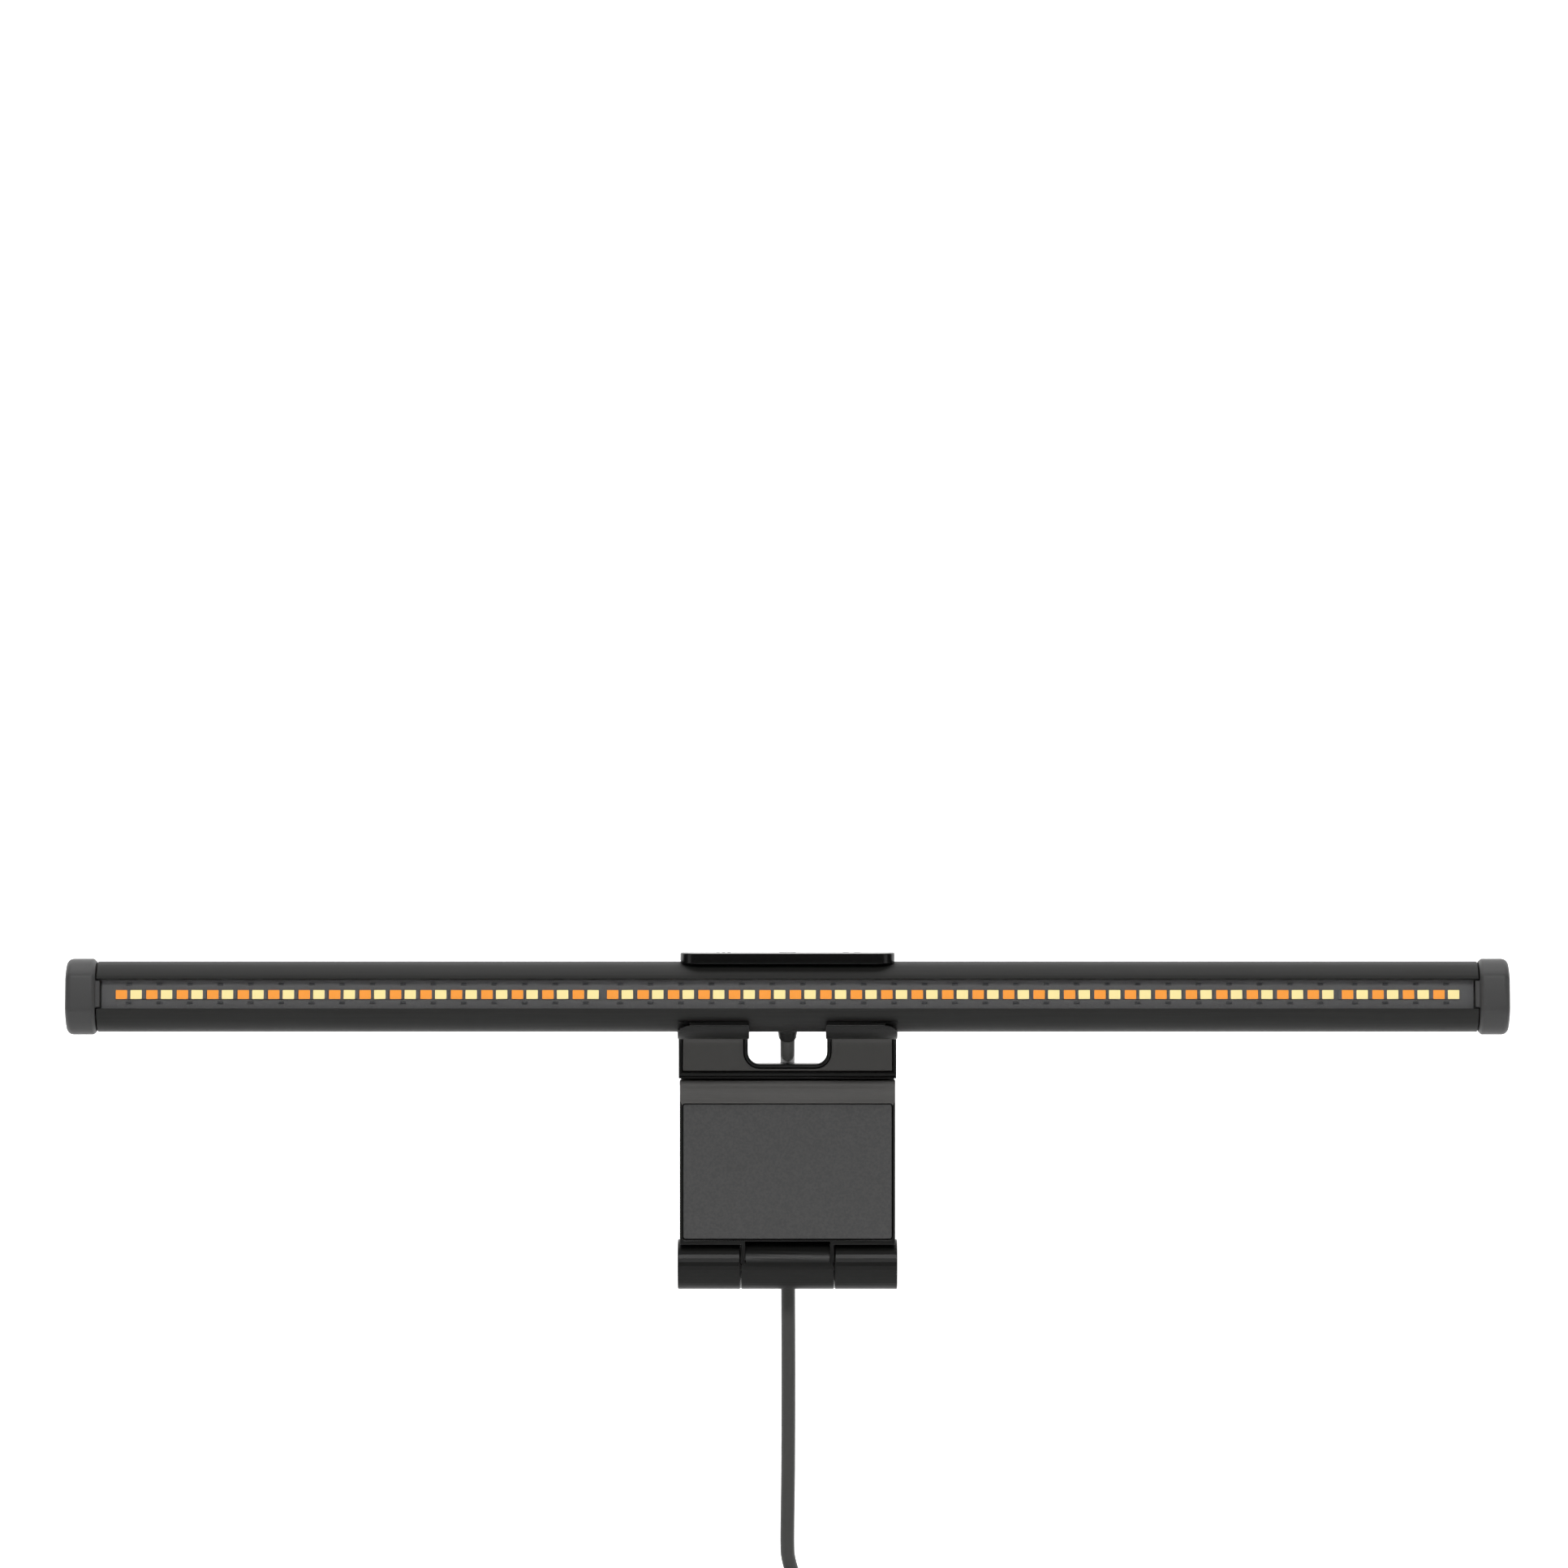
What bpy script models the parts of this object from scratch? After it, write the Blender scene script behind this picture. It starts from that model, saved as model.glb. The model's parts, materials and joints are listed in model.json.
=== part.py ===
"""Monitor light bar: an LED tube that tilts in a hook, with a hinged clamp plate behind the screen.

The origin is the middle of the throat, on the face that rests on the screen's top edge.
+X runs along the bar, -Y faces the person at the desk, +Z is up. All sizes are in metres.
"""

from math import acos, asin, atan2, cos, pi, radians, sin, sqrt

import bmesh
import bpy
from mathutils import Matrix, Vector
from mathutils.geometry import interpolate_bezier

# Driving sizes
BAR_LENGTH = 0.450
TUBE_R = 0.0110
CLIP_WIDTH = 0.0686
THROAT_DEPTH = 0.0130
PLATE_HEIGHT = 0.0521
HINGE_R = 0.0079
CORD_D = 0.0045
GAP = 0.0003

# Lamp tube, in the section seen along X: u points out of the window, v is across it
WINDOW_TILT = radians(8)
TUBE_WALL = 0.0015
WINDOW_HALF = 0.00465
GROOVE_HALF = 0.0054
LEDGE_HALF = 0.0044
GROOVE_TOP = 0.0093
GROOVE_FLOOR = 0.0081
LEDGE_FLOOR = 0.0073
RIB_TOP = 0.0054
RIB_FLOOR = 0.0046
RIB_HALF = 0.0049
BOARD_THICK = 0.0010
BOARD_HALF = 0.0056

# LED packages on the board
CHIP_LENGTH = 0.0035
CHIP_HALF = 0.0014
CHIP_HEIGHT = 0.0007
CHIP_STEP = 0.00456
PAIR_STEP = 0.00943
GROUP_GAP = 0.0012
GROUP_PAIRS = (16, 24, 4)

# End caps
CAP_R = TUBE_R + 0.00085
CAP_FLAT = TUBE_R - 0.0002
CAP_WIDTH = 0.0094
CAP_CHAMFER = 0.0010
CAP_ROUND = 0.0020
TONGUE_LENGTH = 0.0015
TONGUE_HALF = 0.0042
PLUG_LENGTH = 0.0065

# Touch control on top of the tube
PAD_LENGTH = 0.0670
PAD_WIDTH = 0.0150
PAD_TOP = TUBE_R + 0.0028
PAD_SKIRT = TUBE_R - 0.0006
PAD_CORNER = 0.0060
PAD_WALL = 0.0014
PAD_ROOF = 0.0011
POST_R = 0.0013
POST_X = 0.0265

# Hook that carries the tube and sits over the screen
CRADLE_WALL = 0.0020
CRADLE_FRONT = radians(-50)
CRADLE_REAR = radians(134)
LIP_DROP = 0.0049
THROAT_R = 0.0080
HOOK_WALL = 0.0020
HOOK_LOW = -0.0186
RIM = 0.0003
RIM_WIDTH = 0.0010
PAD_THICK = 0.0009
LIP_GAP_WIDTH = 0.0240
NOTCH_WIDTH = 0.0250
NOTCH_LOW = -0.0141
NOTCH_R = 0.0037
NOTCH_RIM = 0.0011
THROAT_PAD_LOW = -0.0165

# Rear arm, its weight and its cover
ARM_FRONT_CLEAR = 0.0006
ARM_THICK = 0.0070
ARM_FLOOR = 0.0016
WEIGHT_THICK = 0.0032
WEIGHT_WIDTH = 0.0420
COVER_THICK = 0.0014
POCKET_MARGIN = 0.0043
ARM_TOP = -0.0144

# Clamp plate
PLATE_THICK = 0.0034
PLATE_SET_BACK = 0.0030
PLATE_NARROWER = 0.0006
NOSE_R = 0.0065
KNUCKLE_WIDTH = 0.0293
KNUCKLE_STRIP = 0.00125
KNUCKLE_WINDOW = 0.0078
HINGE_WIDER = 0.0008
BARREL_PROUD = 0.00006
PIN_R = 0.0020
WASHER_R = 0.0050
WASHER_THICK = 0.0011
FACING_THICK = 0.0009

# Small screws
SCREW_R = 0.0013
SCREW_HEAD_R = 0.0023
SCREW_HEAD = 0.0013
TILT_X = 0.0220
TILT_REST = radians(84)
TILT_TRAVEL = radians(45)
TILT_SPARE = radians(3)

# Cable gland
GLAND_ANGLE = radians(45)
GLAND_FLANGE_R = 0.0048
GLAND_FLANGE = 0.0013
GLAND_NECK_R = 0.0027
GLAND_TIP_R = 0.0028
GLAND_REACH = 0.0060

# Stored cord and its plug
COIL_R = 0.02475
COIL_SECTION = 0.0140
COIL_TOP = -0.1835
CORD_CLEAR = 0.00051
PLUG_WIDTH = 0.0160
PLUG_DEPTH = 0.0082
PLUG_BODY = 0.0220
PLUG_RELIEF = 0.0110
SHELL_WIDTH = 0.0120
SHELL_DEPTH = 0.0045
SHELL_LENGTH = 0.0120

# Places that follow from the sizes
LIP_BACK = -THROAT_DEPTH / 2
WALL_FRONT = THROAT_DEPTH / 2
CRADLE_IN = TUBE_R + GAP
CRADLE_OUT = CRADLE_IN + CRADLE_WALL
AXIS_Z = CRADLE_OUT - LIP_DROP
AXIS_Y = LIP_BACK - sqrt(CRADLE_OUT**2 - AXIS_Z**2) - GAP
RECESS = PAD_THICK + GAP
HOOK_BACK = WALL_FRONT + RECESS + HOOK_WALL
PLATE_FRONT = WALL_FRONT + PLATE_SET_BACK
PLATE_BACK = PLATE_FRONT + PLATE_THICK
PLATE_TOP = HOOK_LOW - 2 * GAP
PLATE_LOW = PLATE_TOP - PLATE_HEIGHT
HINGE_Y = PLATE_FRONT + HINGE_R - BARREL_PROUD
CORD_BACK = HINGE_Y + HINGE_R + CORD_D / 2 + CORD_CLEAR
HINGE_Z = PLATE_LOW + 0.0004 - HINGE_R * sqrt(1 - ((PLATE_BACK - HINGE_Y) / HINGE_R) ** 2) - 2 * GAP
ARM_FRONT = PLATE_BACK + ARM_FRONT_CLEAR
ARM_BACK = ARM_FRONT + ARM_THICK
TUBE_HALF = BAR_LENGTH / 2 - CAP_WIDTH - GAP
BORE_R = TUBE_R - TUBE_WALL
BOARD_LOW = RIB_TOP + GAP
HINGE_HALF = (CLIP_WIDTH + HINGE_WIDER) / 2
COIL_Z = COIL_TOP - COIL_R - COIL_SECTION / 2
GLAND_START = TUBE_R + GAP + GLAND_FLANGE + GLAND_REACH


def clear_scene():
    for old in list(bpy.data.objects):
        bpy.data.objects.remove(old)


def make_material(name, color, roughness, metallic=0.0, transmission=0.0):
    material = bpy.data.materials.new(name)
    material.use_nodes = True
    shader = material.node_tree.nodes["Principled BSDF"]
    shader.inputs["Base Color"].default_value = (*color, 1.0)
    shader.inputs["Roughness"].default_value = roughness
    shader.inputs["Metallic"].default_value = metallic
    shader.inputs["Transmission Weight"].default_value = transmission
    return material


def make_object(name, mesh, material=None, parent=None):
    made = bpy.data.objects.new(name, mesh)
    bpy.context.scene.collection.objects.link(made)
    if material:
        mesh.materials.append(material)
    made.parent = parent
    return made


def mesh_from(bm, name, smooth_angle=35):
    bmesh.ops.recalc_face_normals(bm, faces=bm.faces)
    mesh = bpy.data.meshes.new(name)
    bm.to_mesh(mesh)
    bm.free()
    mesh.shade_smooth()
    mesh.set_sharp_from_angle(angle=radians(smooth_angle))
    return mesh


def make_empty(name, location):
    empty = make_object(name, None)
    empty.location = location
    return empty


def arc(center, radius, start, end, steps):
    """Points on an arc in a plane, with both ends."""
    angles = (start + (end - start) * i / steps for i in range(steps + 1))
    return [(center[0] + radius * cos(a), center[1] + radius * sin(a)) for a in angles]


def prism(name, outline, low, high, axis="X", **kwargs):
    """A closed outline carried along one axis. The outline holds the two other coordinates in order."""
    places = {"X": lambda a, b, c: (c, a, b), "Y": lambda a, b, c: (a, c, b), "Z": lambda a, b, c: (a, b, c)}
    place = places[axis]
    bm = bmesh.new()
    face = bm.faces.new([bm.verts.new(place(a, b, low)) for a, b in outline])
    extruded = bmesh.ops.extrude_face_region(bm, geom=[face])["geom"]
    moved = [item for item in extruded if isinstance(item, bmesh.types.BMVert)]
    bmesh.ops.translate(bm, verts=moved, vec=place(0.0, 0.0, high - low))
    return make_object(name, mesh_from(bm, name), **kwargs)


def rounded_outline(width, height, corner, center=(0.0, 0.0), steps=6):
    x, y = width / 2 - corner, height / 2 - corner
    outline = []
    for quarter, (sx, sy) in enumerate(((1, 1), (-1, 1), (-1, -1), (1, -1))):
        middle = (center[0] + sx * x, center[1] + sy * y)
        outline += arc(middle, corner, quarter * pi / 2, (quarter + 1) * pi / 2, steps)
    return outline


def box_outline(low, high):
    return [low, (high[0], low[1]), high, (low[0], high[1])]


def lathe(name, profile, place, steps=32, **kwargs):
    """A solid turned about local Z from (radius, height) points; a radius of zero closes an end."""
    bm = bmesh.new()
    rings = []
    for radius, height in profile:
        if radius == 0.0:
            rings.append([bm.verts.new((0.0, 0.0, height))])
        else:
            turns = (2 * pi * i / steps for i in range(steps))
            rings.append([bm.verts.new((radius * cos(a), radius * sin(a), height)) for a in turns])
    closed = profile[0][0] != 0.0
    pairs = list(zip(rings, rings[1:] + rings[:1])) if closed else list(zip(rings, rings[1:]))
    for lower, upper in pairs:
        for i in range(steps):
            j = (i + 1) % steps
            corners = [lower[i % len(lower)], lower[j % len(lower)]]
            corners += [upper[j % len(upper)], upper[i % len(upper)]]
            bm.faces.new(list(dict.fromkeys(corners)))
    bmesh.ops.transform(bm, matrix=place, verts=bm.verts)
    return make_object(name, mesh_from(bm, name), **kwargs)


def combine(target, others, operation):
    """Join or cut with helper solids that stay out of the model."""
    for other in others:
        other.hide_render = True
        other.display_type = "WIRE"
        modifier = target.modifiers.new(operation.lower(), "BOOLEAN")
        modifier.operation = operation
        modifier.object = other
    return target


def along_x(x=0.0, y=0.0, z=0.0):
    return Matrix.Translation((x, y, z)) @ Matrix.Rotation(pi / 2, 4, "Y")


def along_y(x, y, z):
    return Matrix.Translation((x, y, z)) @ Matrix.Rotation(-pi / 2, 4, "X")


def outwards(angle, x=0.0):
    """A frame on the tube's axis whose Z points outwards, at an angle from straight down to the back."""
    return Matrix.Translation((x, 0.0, 0.0)) @ Matrix.Rotation(pi + angle, 4, "X")


def window_point(u, v):
    return (-u * cos(WINDOW_TILT) + v * sin(WINDOW_TILT), u * sin(WINDOW_TILT) + v * cos(WINDOW_TILT))


def window_box(name, u_low, u_high, half, x_low, x_high, **kwargs):
    corners = [(u_low, -half), (u_high, -half), (u_high, half), (u_low, half)]
    return prism(name, [window_point(u, v) for u, v in corners], x_low, x_high, **kwargs)


def make_housing(parent, material):
    """Extruded aluminium tube, open in front, with grooves for the lens and ribs for the board."""
    edge = asin(WINDOW_HALF / TUBE_R)
    ledge = acos(LEDGE_FLOOR / BORE_R)
    rib_top = acos(RIB_TOP / BORE_R)
    rib_floor = acos(RIB_FLOOR / BORE_R)
    upper = [(GROOVE_TOP, WINDOW_HALF), (GROOVE_TOP, GROOVE_HALF), (GROOVE_FLOOR, GROOVE_HALF)]
    upper += [(GROOVE_FLOOR, LEDGE_HALF), (LEDGE_FLOOR, LEDGE_HALF)]
    upper += arc((0, 0), BORE_R, ledge, rib_top, 3)
    upper += [(RIB_TOP, RIB_HALF), (RIB_FLOOR, RIB_HALF)]
    section = arc((0, 0), TUBE_R, 2 * pi - edge, edge, 48) + upper
    section += arc((0, 0), BORE_R, rib_floor, 2 * pi - rib_floor, 30)
    section += [(u, -v) for u, v in reversed(upper)]
    outline = [window_point(u, v) for u, v in section]
    housing = prism("tube_housing", outline, -TUBE_HALF, TUBE_HALF, parent=parent, material=material)
    screw_hole = SCREW_R + GAP
    holes = [hole_cutter(f"tilt_hole_{side}", screw_hole, TILT_REST, side * TILT_X, parent) for side in (-1, 1)]
    holes += [hole_cutter(f"post_hole_{side}", POST_R + GAP, pi, side * POST_X, parent) for side in (-1, 1)]
    holes.append(hole_cutter("gland_hole", GLAND_NECK_R + GAP, GLAND_ANGLE, 0.0, parent))
    return combine(housing, holes, "DIFFERENCE")


def hole_cutter(name, radius, angle, x, parent):
    low = BORE_R - 0.003
    high = TUBE_R + 0.003
    profile = [(0.0, low), (radius, low), (radius, high), (0.0, high)]
    return lathe(name, profile, outwards(angle, x), steps=16, parent=parent)


def chip_centres():
    """Left-to-right places of the LED packages, in groups of pairs, centred on the board."""
    places = []
    x = 0.0
    for pairs in GROUP_PAIRS:
        for _ in range(pairs):
            places += [x, x + CHIP_STEP]
            x += PAIR_STEP
        x += GROUP_GAP
    middle = (places[0] + places[-1]) / 2
    return [place - middle for place in places]


def make_led_board(parent, material, half):
    """The board and its soldered packages, as one stepped strip."""
    low, top = BOARD_LOW, BOARD_LOW + BOARD_THICK
    edges = [-half]
    for centre in chip_centres():
        edges += [centre - CHIP_LENGTH / 2, centre + CHIP_LENGTH / 2]
    edges.append(half)
    rows = (-BOARD_HALF, -CHIP_HALF, CHIP_HALF, BOARD_HALF)
    bm = bmesh.new()
    grid = [[bm.verts.new((x, *window_point(top, v))) for v in rows] for x in edges]
    faces = {}
    for i in range(len(edges) - 1):
        for j in range(3):
            faces[i, j] = bm.faces.new([grid[i][j], grid[i + 1][j], grid[i + 1][j + 1], grid[i][j + 1]])
    skirt = bmesh.ops.extrude_face_region(bm, geom=list(faces.values()), use_keep_orig=True)["geom"]
    down = Vector((0.0, *window_point(low, 0.0))) - Vector((0.0, *window_point(top, 0.0)))
    bmesh.ops.translate(bm, verts=[item for item in skirt if isinstance(item, bmesh.types.BMVert)], vec=down)
    chips = [faces[i, 1] for i in range(1, len(edges) - 1, 2)]
    raised = bmesh.ops.extrude_discrete_faces(bm, faces=chips)["faces"]
    up = -down * (CHIP_HEIGHT / BOARD_THICK)
    for face in raised:
        bmesh.ops.translate(bm, verts=face.verts, vec=up)
    return make_object("led_board", mesh_from(bm, "led_board"), material, parent)


def cap_outline(inset):
    radius, flat = CAP_R - inset, CAP_FLAT - inset
    edge = acos(flat / radius)
    return [window_point(u, v) for u, v in arc((0, 0), radius, edge, 2 * pi - edge, 40)]


def make_end_cap(side, parent, material):
    """Moulded cap: a D-shaped head, a tongue in the window and a plug in the bore."""
    inner = BAR_LENGTH / 2 - CAP_WIDTH
    outer = BAR_LENGTH / 2
    stations = [(inner, CAP_CHAMFER), (inner + CAP_CHAMFER, 0.0)]
    for i in range(5):
        turn = i * pi / 8
        stations.append((outer - CAP_ROUND * (1 - sin(turn)), CAP_ROUND * (1 - cos(turn))))
    bm = bmesh.new()
    rings = [[bm.verts.new((side * x, *point)) for point in cap_outline(inset)] for x, inset in stations]
    for lower, upper in zip(rings, rings[1:]):
        for i in range(len(lower)):
            j = (i + 1) % len(lower)
            bm.faces.new([lower[i], lower[j], upper[j], upper[i]])
    bm.faces.new(rings[0])
    bm.faces.new(rings[-1])
    name = "end_cap_left" if side < 0 else "end_cap_right"
    cap = make_object(name, mesh_from(bm, name), material, parent)
    spans = sorted((side * (inner - TONGUE_LENGTH), side * (inner + CAP_CHAMFER)))
    low = GROOVE_FLOOR + GAP
    tongue = window_box(f"{name}_tongue", low, GROOVE_TOP + GAP, TONGUE_HALF, *spans, parent=parent)
    spans = sorted((side * (inner - PLUG_LENGTH), side * (inner + CAP_CHAMFER)))
    edge = acos((RIB_FLOOR - 2 * GAP) / (BORE_R - GAP))
    section = arc((0, 0), BORE_R - GAP, edge, 2 * pi - edge, 24)
    outline = [window_point(u, v) for u, v in section]
    plug = prism(f"{name}_plug", outline, *spans, parent=parent)
    return combine(cap, [tongue, plug], "UNION")


def make_touch_pad(parent, cover_material, board_material):
    """Touch cover with two posts, and the sensor board in its pocket."""
    outline = rounded_outline(PAD_LENGTH, PAD_WIDTH, PAD_CORNER)
    cover = prism("touch_cover", outline, PAD_SKIRT, PAD_TOP, "Z", parent=parent, material=cover_material)
    roof = PAD_TOP - PAD_ROOF
    pocket_size = (PAD_LENGTH - 2 * PAD_WALL, PAD_WIDTH - 2 * PAD_WALL, PAD_CORNER - PAD_WALL)
    pocket = prism("touch_pocket", rounded_outline(*pocket_size), PAD_SKIRT - 0.002, roof, "Z", parent=parent)
    profile = [(0.0, -0.05), (TUBE_R + GAP, -0.05), (TUBE_R + GAP, 0.05), (0.0, 0.05)]
    tube = lathe("touch_clearance", profile, along_x(), steps=64, parent=parent)
    combine(cover, [pocket, tube], "DIFFERENCE")
    posts = []
    for side in (-1, 1):
        place = Matrix.Translation((side * POST_X, 0.0, 0.0))
        low = BORE_R - 0.001
        high = roof + 0.0005
        profile = [(0.0, low), (POST_R, low), (POST_R, high), (0.0, high)]
        posts.append(lathe(f"touch_post_{side}", profile, place, steps=16, parent=parent))
    combine(cover, posts, "UNION")
    board_half = POST_X - POST_R - 2 * GAP
    outline = rounded_outline(2 * board_half, 0.0100, 0.0010, steps=3)
    low = TUBE_R + GAP
    prism("touch_board", outline, low, roof - GAP, "Z", parent=parent, material=board_material)


def make_gland(parent, material, metal):
    """Moulded cable gland with a flange outside the tube, and the ring nut that holds it inside."""
    flange = TUBE_R + GAP
    top = flange + GLAND_FLANGE
    profile = [(0.0, BORE_R - 0.0040), (GLAND_NECK_R, BORE_R - 0.0040), (GLAND_NECK_R, flange)]
    profile += [(GLAND_FLANGE_R, flange), (GLAND_FLANGE_R, top - 0.0004), (GLAND_FLANGE_R - 0.0004, top)]
    profile += [(GLAND_TIP_R + 0.0006, top), (GLAND_TIP_R, top + GLAND_REACH), (0.0, top + GLAND_REACH)]
    lathe("cable_gland", profile, outwards(GLAND_ANGLE), steps=28, parent=parent, material=material)
    nut_top = sqrt(BORE_R**2 - 0.0042**2) - GAP
    nut = [(GLAND_NECK_R + GAP, nut_top - 0.0016), (0.0042, nut_top - 0.0016), (0.0042, nut_top)]
    nut.append((GLAND_NECK_R + GAP, nut_top))
    lathe("gland_nut", nut, outwards(GLAND_ANGLE), steps=24, parent=parent, material=metal)


def make_tilt_screws(parent, metal):
    """Shoulder screws that slide in the hook's slots, and the bar they thread into inside the tube."""
    head = CRADLE_OUT + GAP
    nut_top = BORE_R - 0.0010
    for side in (-1, 1):
        name = "tilt_screw_left" if side < 0 else "tilt_screw_right"
        low = nut_top - 0.0016
        profile = [(0.0, low), (SCREW_R, low), (SCREW_R, head), (SCREW_HEAD_R, head)]
        profile += [(SCREW_HEAD_R, head + SCREW_HEAD * 0.6), (SCREW_HEAD_R * 0.7, head + SCREW_HEAD)]
        profile.append((0.0, head + SCREW_HEAD))
        lathe(name, profile, outwards(TILT_REST, side * TILT_X), steps=20, parent=parent, material=metal)
        name = "tilt_nut_left" if side < 0 else "tilt_nut_right"
        ring = [(SCREW_R + GAP, nut_top - 0.0020), (0.0030, nut_top - 0.0020), (0.0030, nut_top)]
        ring.append((SCREW_R + GAP, nut_top))
        lathe(name, ring, outwards(TILT_REST, side * TILT_X), steps=16, parent=parent, material=metal)


def make_bar(materials):
    axis = make_empty("bar_axis", (0.0, AXIS_Y, AXIS_Z))
    inside = BAR_LENGTH / 2 - CAP_WIDTH - TONGUE_LENGTH - GAP
    make_housing(axis, materials["tube"])
    make_led_board(axis, materials["board"], inside)
    lens_low = GROOVE_FLOOR + GAP
    lens_top = GROOVE_TOP - GAP
    lens_half = GROOVE_HALF - GAP
    window_box("lens", lens_low, lens_top, lens_half, -inside, inside, parent=axis, material=materials["lens"])
    for side in (-1, 1):
        make_end_cap(side, axis, materials["cap"])
    make_touch_pad(axis, materials["pad"], materials["board"])
    make_gland(axis, materials["cap"], materials["steel"])
    make_tilt_screws(axis, materials["steel"])
    outline = box_outline((-0.0042, -0.0036), (0.0010, -0.0022))
    driver = prism("driver_board", outline, 0.050, 0.110, parent=axis, material=materials["board"])
    chips = box_outline((-0.0030, -0.0024), (0.0002, -0.0006))
    parts = [prism("driver_chips", chips, 0.060, 0.072, parent=axis)]
    return combine(driver, parts, "UNION")


def throat_path(offset):
    """The throat's ceiling, curl and wall in section, moved into the hook by an offset."""
    centre = (WALL_FRONT - THROAT_R, -THROAT_R)
    return arc(centre, THROAT_R + offset, pi / 2, 0.0, 10)


def throat_layer(name, near, far, half_width, low, rim, **kwargs):
    """The layer between two offsets of the throat's face, around the notch and its rim."""
    start = LIP_BACK + RIM + (near + RIM)
    outline = [(start, near)] + throat_path(near) + [(WALL_FRONT + near, low)]
    outline += [(WALL_FRONT + far, low)] + throat_path(far)[::-1] + [(start, far)]
    layer = prism(name, outline, -half_width, half_width, **kwargs)
    keep_out = notch_cutter(f"{name}_notch", NOTCH_WIDTH + 2 * rim, NOTCH_LOW - rim, NOTCH_R + rim, -0.02)
    return combine(layer, [keep_out], "DIFFERENCE")


def notch_cutter(name, width, low, corner, front):
    height = 0.060
    outline = rounded_outline(width, height, corner, (0.0, low + height / 2))
    return prism(name, outline, front, HOOK_BACK + 0.005, "Y")


def cradle_point(radius, angle):
    return (AXIS_Y + radius * sin(angle), AXIS_Z - radius * cos(angle))


def cradle_arc(radius, start, end, steps):
    return [cradle_point(radius, start + (end - start) * i / steps) for i in range(steps + 1)]


def hook_outline():
    top = HOOK_WALL + RECESS
    join = atan2(sqrt(CRADLE_OUT**2 - (AXIS_Z - top) ** 2), AXIS_Z - top)
    outline = cradle_arc(CRADLE_OUT, CRADLE_FRONT, 0.0, 10)
    outline += [(LIP_BACK - 0.0008, -LIP_DROP), (LIP_BACK, -LIP_DROP + 0.0008), (LIP_BACK, -RIM)]
    outline += throat_path(-RIM) + [(WALL_FRONT - RIM, THROAT_PAD_LOW - 0.0012)]
    outline += [(WALL_FRONT, THROAT_PAD_LOW - 0.0013), (WALL_FRONT, THROAT_PAD_LOW - 0.0017)]
    outline += [(WALL_FRONT - RIM, THROAT_PAD_LOW - 0.0018), (WALL_FRONT - RIM, HOOK_LOW + 0.0002)]
    outline += [(WALL_FRONT, HOOK_LOW), (HOOK_BACK, HOOK_LOW)]
    outline += throat_path(RECESS + HOOK_WALL)[::-1]
    outline += cradle_arc(CRADLE_OUT, join, CRADLE_REAR, 12)
    outline += cradle_arc(CRADLE_IN, CRADLE_REAR, CRADLE_FRONT, 36)
    return outline


def lip_corner_cutter(side):
    """Rounds the front lip's outer corner, seen from the front."""
    edge = CLIP_WIDTH / 2
    top = cradle_point(CRADLE_OUT, CRADLE_FRONT)[1]
    wide, tall = 0.0038, 0.0026
    turns = [i * pi / 16 for i in range(9)]
    curve = [(edge - wide + wide * sin(a), top - tall + tall * cos(a)) for a in turns]
    outline = [(side * x, z) for x, z in curve + [(edge + 0.001, top - tall), (edge + 0.001, top + 0.001)]]
    outline.append((side * (edge - wide), top + 0.001))
    name = f"lip_corner_{side}"
    return prism(name, outline, AXIS_Y - CRADLE_OUT - 0.001, AXIS_Y - 0.004, "Y")


def make_hook(plastic, rubber):
    """The moulded hook: a cradle for the tube, a lip, and a throat lined with a soft pad."""
    half = CLIP_WIDTH / 2
    hook = prism("hook", hook_outline(), -half, half, material=plastic)
    gap_half = LIP_GAP_WIDTH / 2
    front = (AXIS_Y - CRADLE_OUT - 0.001, -LIP_DROP - 0.001)
    lip_gap = prism("lip_gap", box_outline(front, (0.0, AXIS_Z + CRADLE_OUT)), -gap_half, gap_half)
    notch = notch_cutter("hook_notch", NOTCH_WIDTH, NOTCH_LOW, NOTCH_R, LIP_BACK + THROAT_DEPTH / 2)
    side_room = half - RIM_WIDTH
    recess = throat_layer("throat_recess", -RIM - 0.001, RECESS, side_room, THROAT_PAD_LOW, NOTCH_RIM)
    cutters = [lip_gap, notch, recess]
    for side in (-1, 1):
        slot_in, slot_out = CRADLE_IN - 0.001, CRADLE_OUT + 0.001
        spare = (SCREW_R + GAP) / CRADLE_IN
        first, last = TILT_REST - spare, TILT_REST + TILT_TRAVEL + TILT_SPARE + spare
        outline = cradle_arc(slot_in, first, last, 8) + cradle_arc(slot_out, last, first, 8)
        width = SCREW_R + GAP
        cutters.append(prism(f"tilt_slot_{side}", outline, side * TILT_X - width, side * TILT_X + width))
        cutters.append(lip_corner_cutter(side))
        drill = [(0.0, -0.0045), (SCREW_R + GAP, -0.0045), (SCREW_R + GAP, 0.004), (0.0, 0.004)]
        place = along_y(side * TILT_X, HOOK_BACK + 0.0030, (HOOK_LOW + ARM_TOP) / 2)
        cutters.append(lathe(f"arm_screw_hole_{side}", drill, place, steps=16))
    combine(hook, cutters, "DIFFERENCE")
    pad_layer = (0.0, PAD_THICK, side_room - GAP, THROAT_PAD_LOW + GAP, NOTCH_RIM + GAP)
    throat_layer("throat_pad", *pad_layer, material=rubber)


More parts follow.
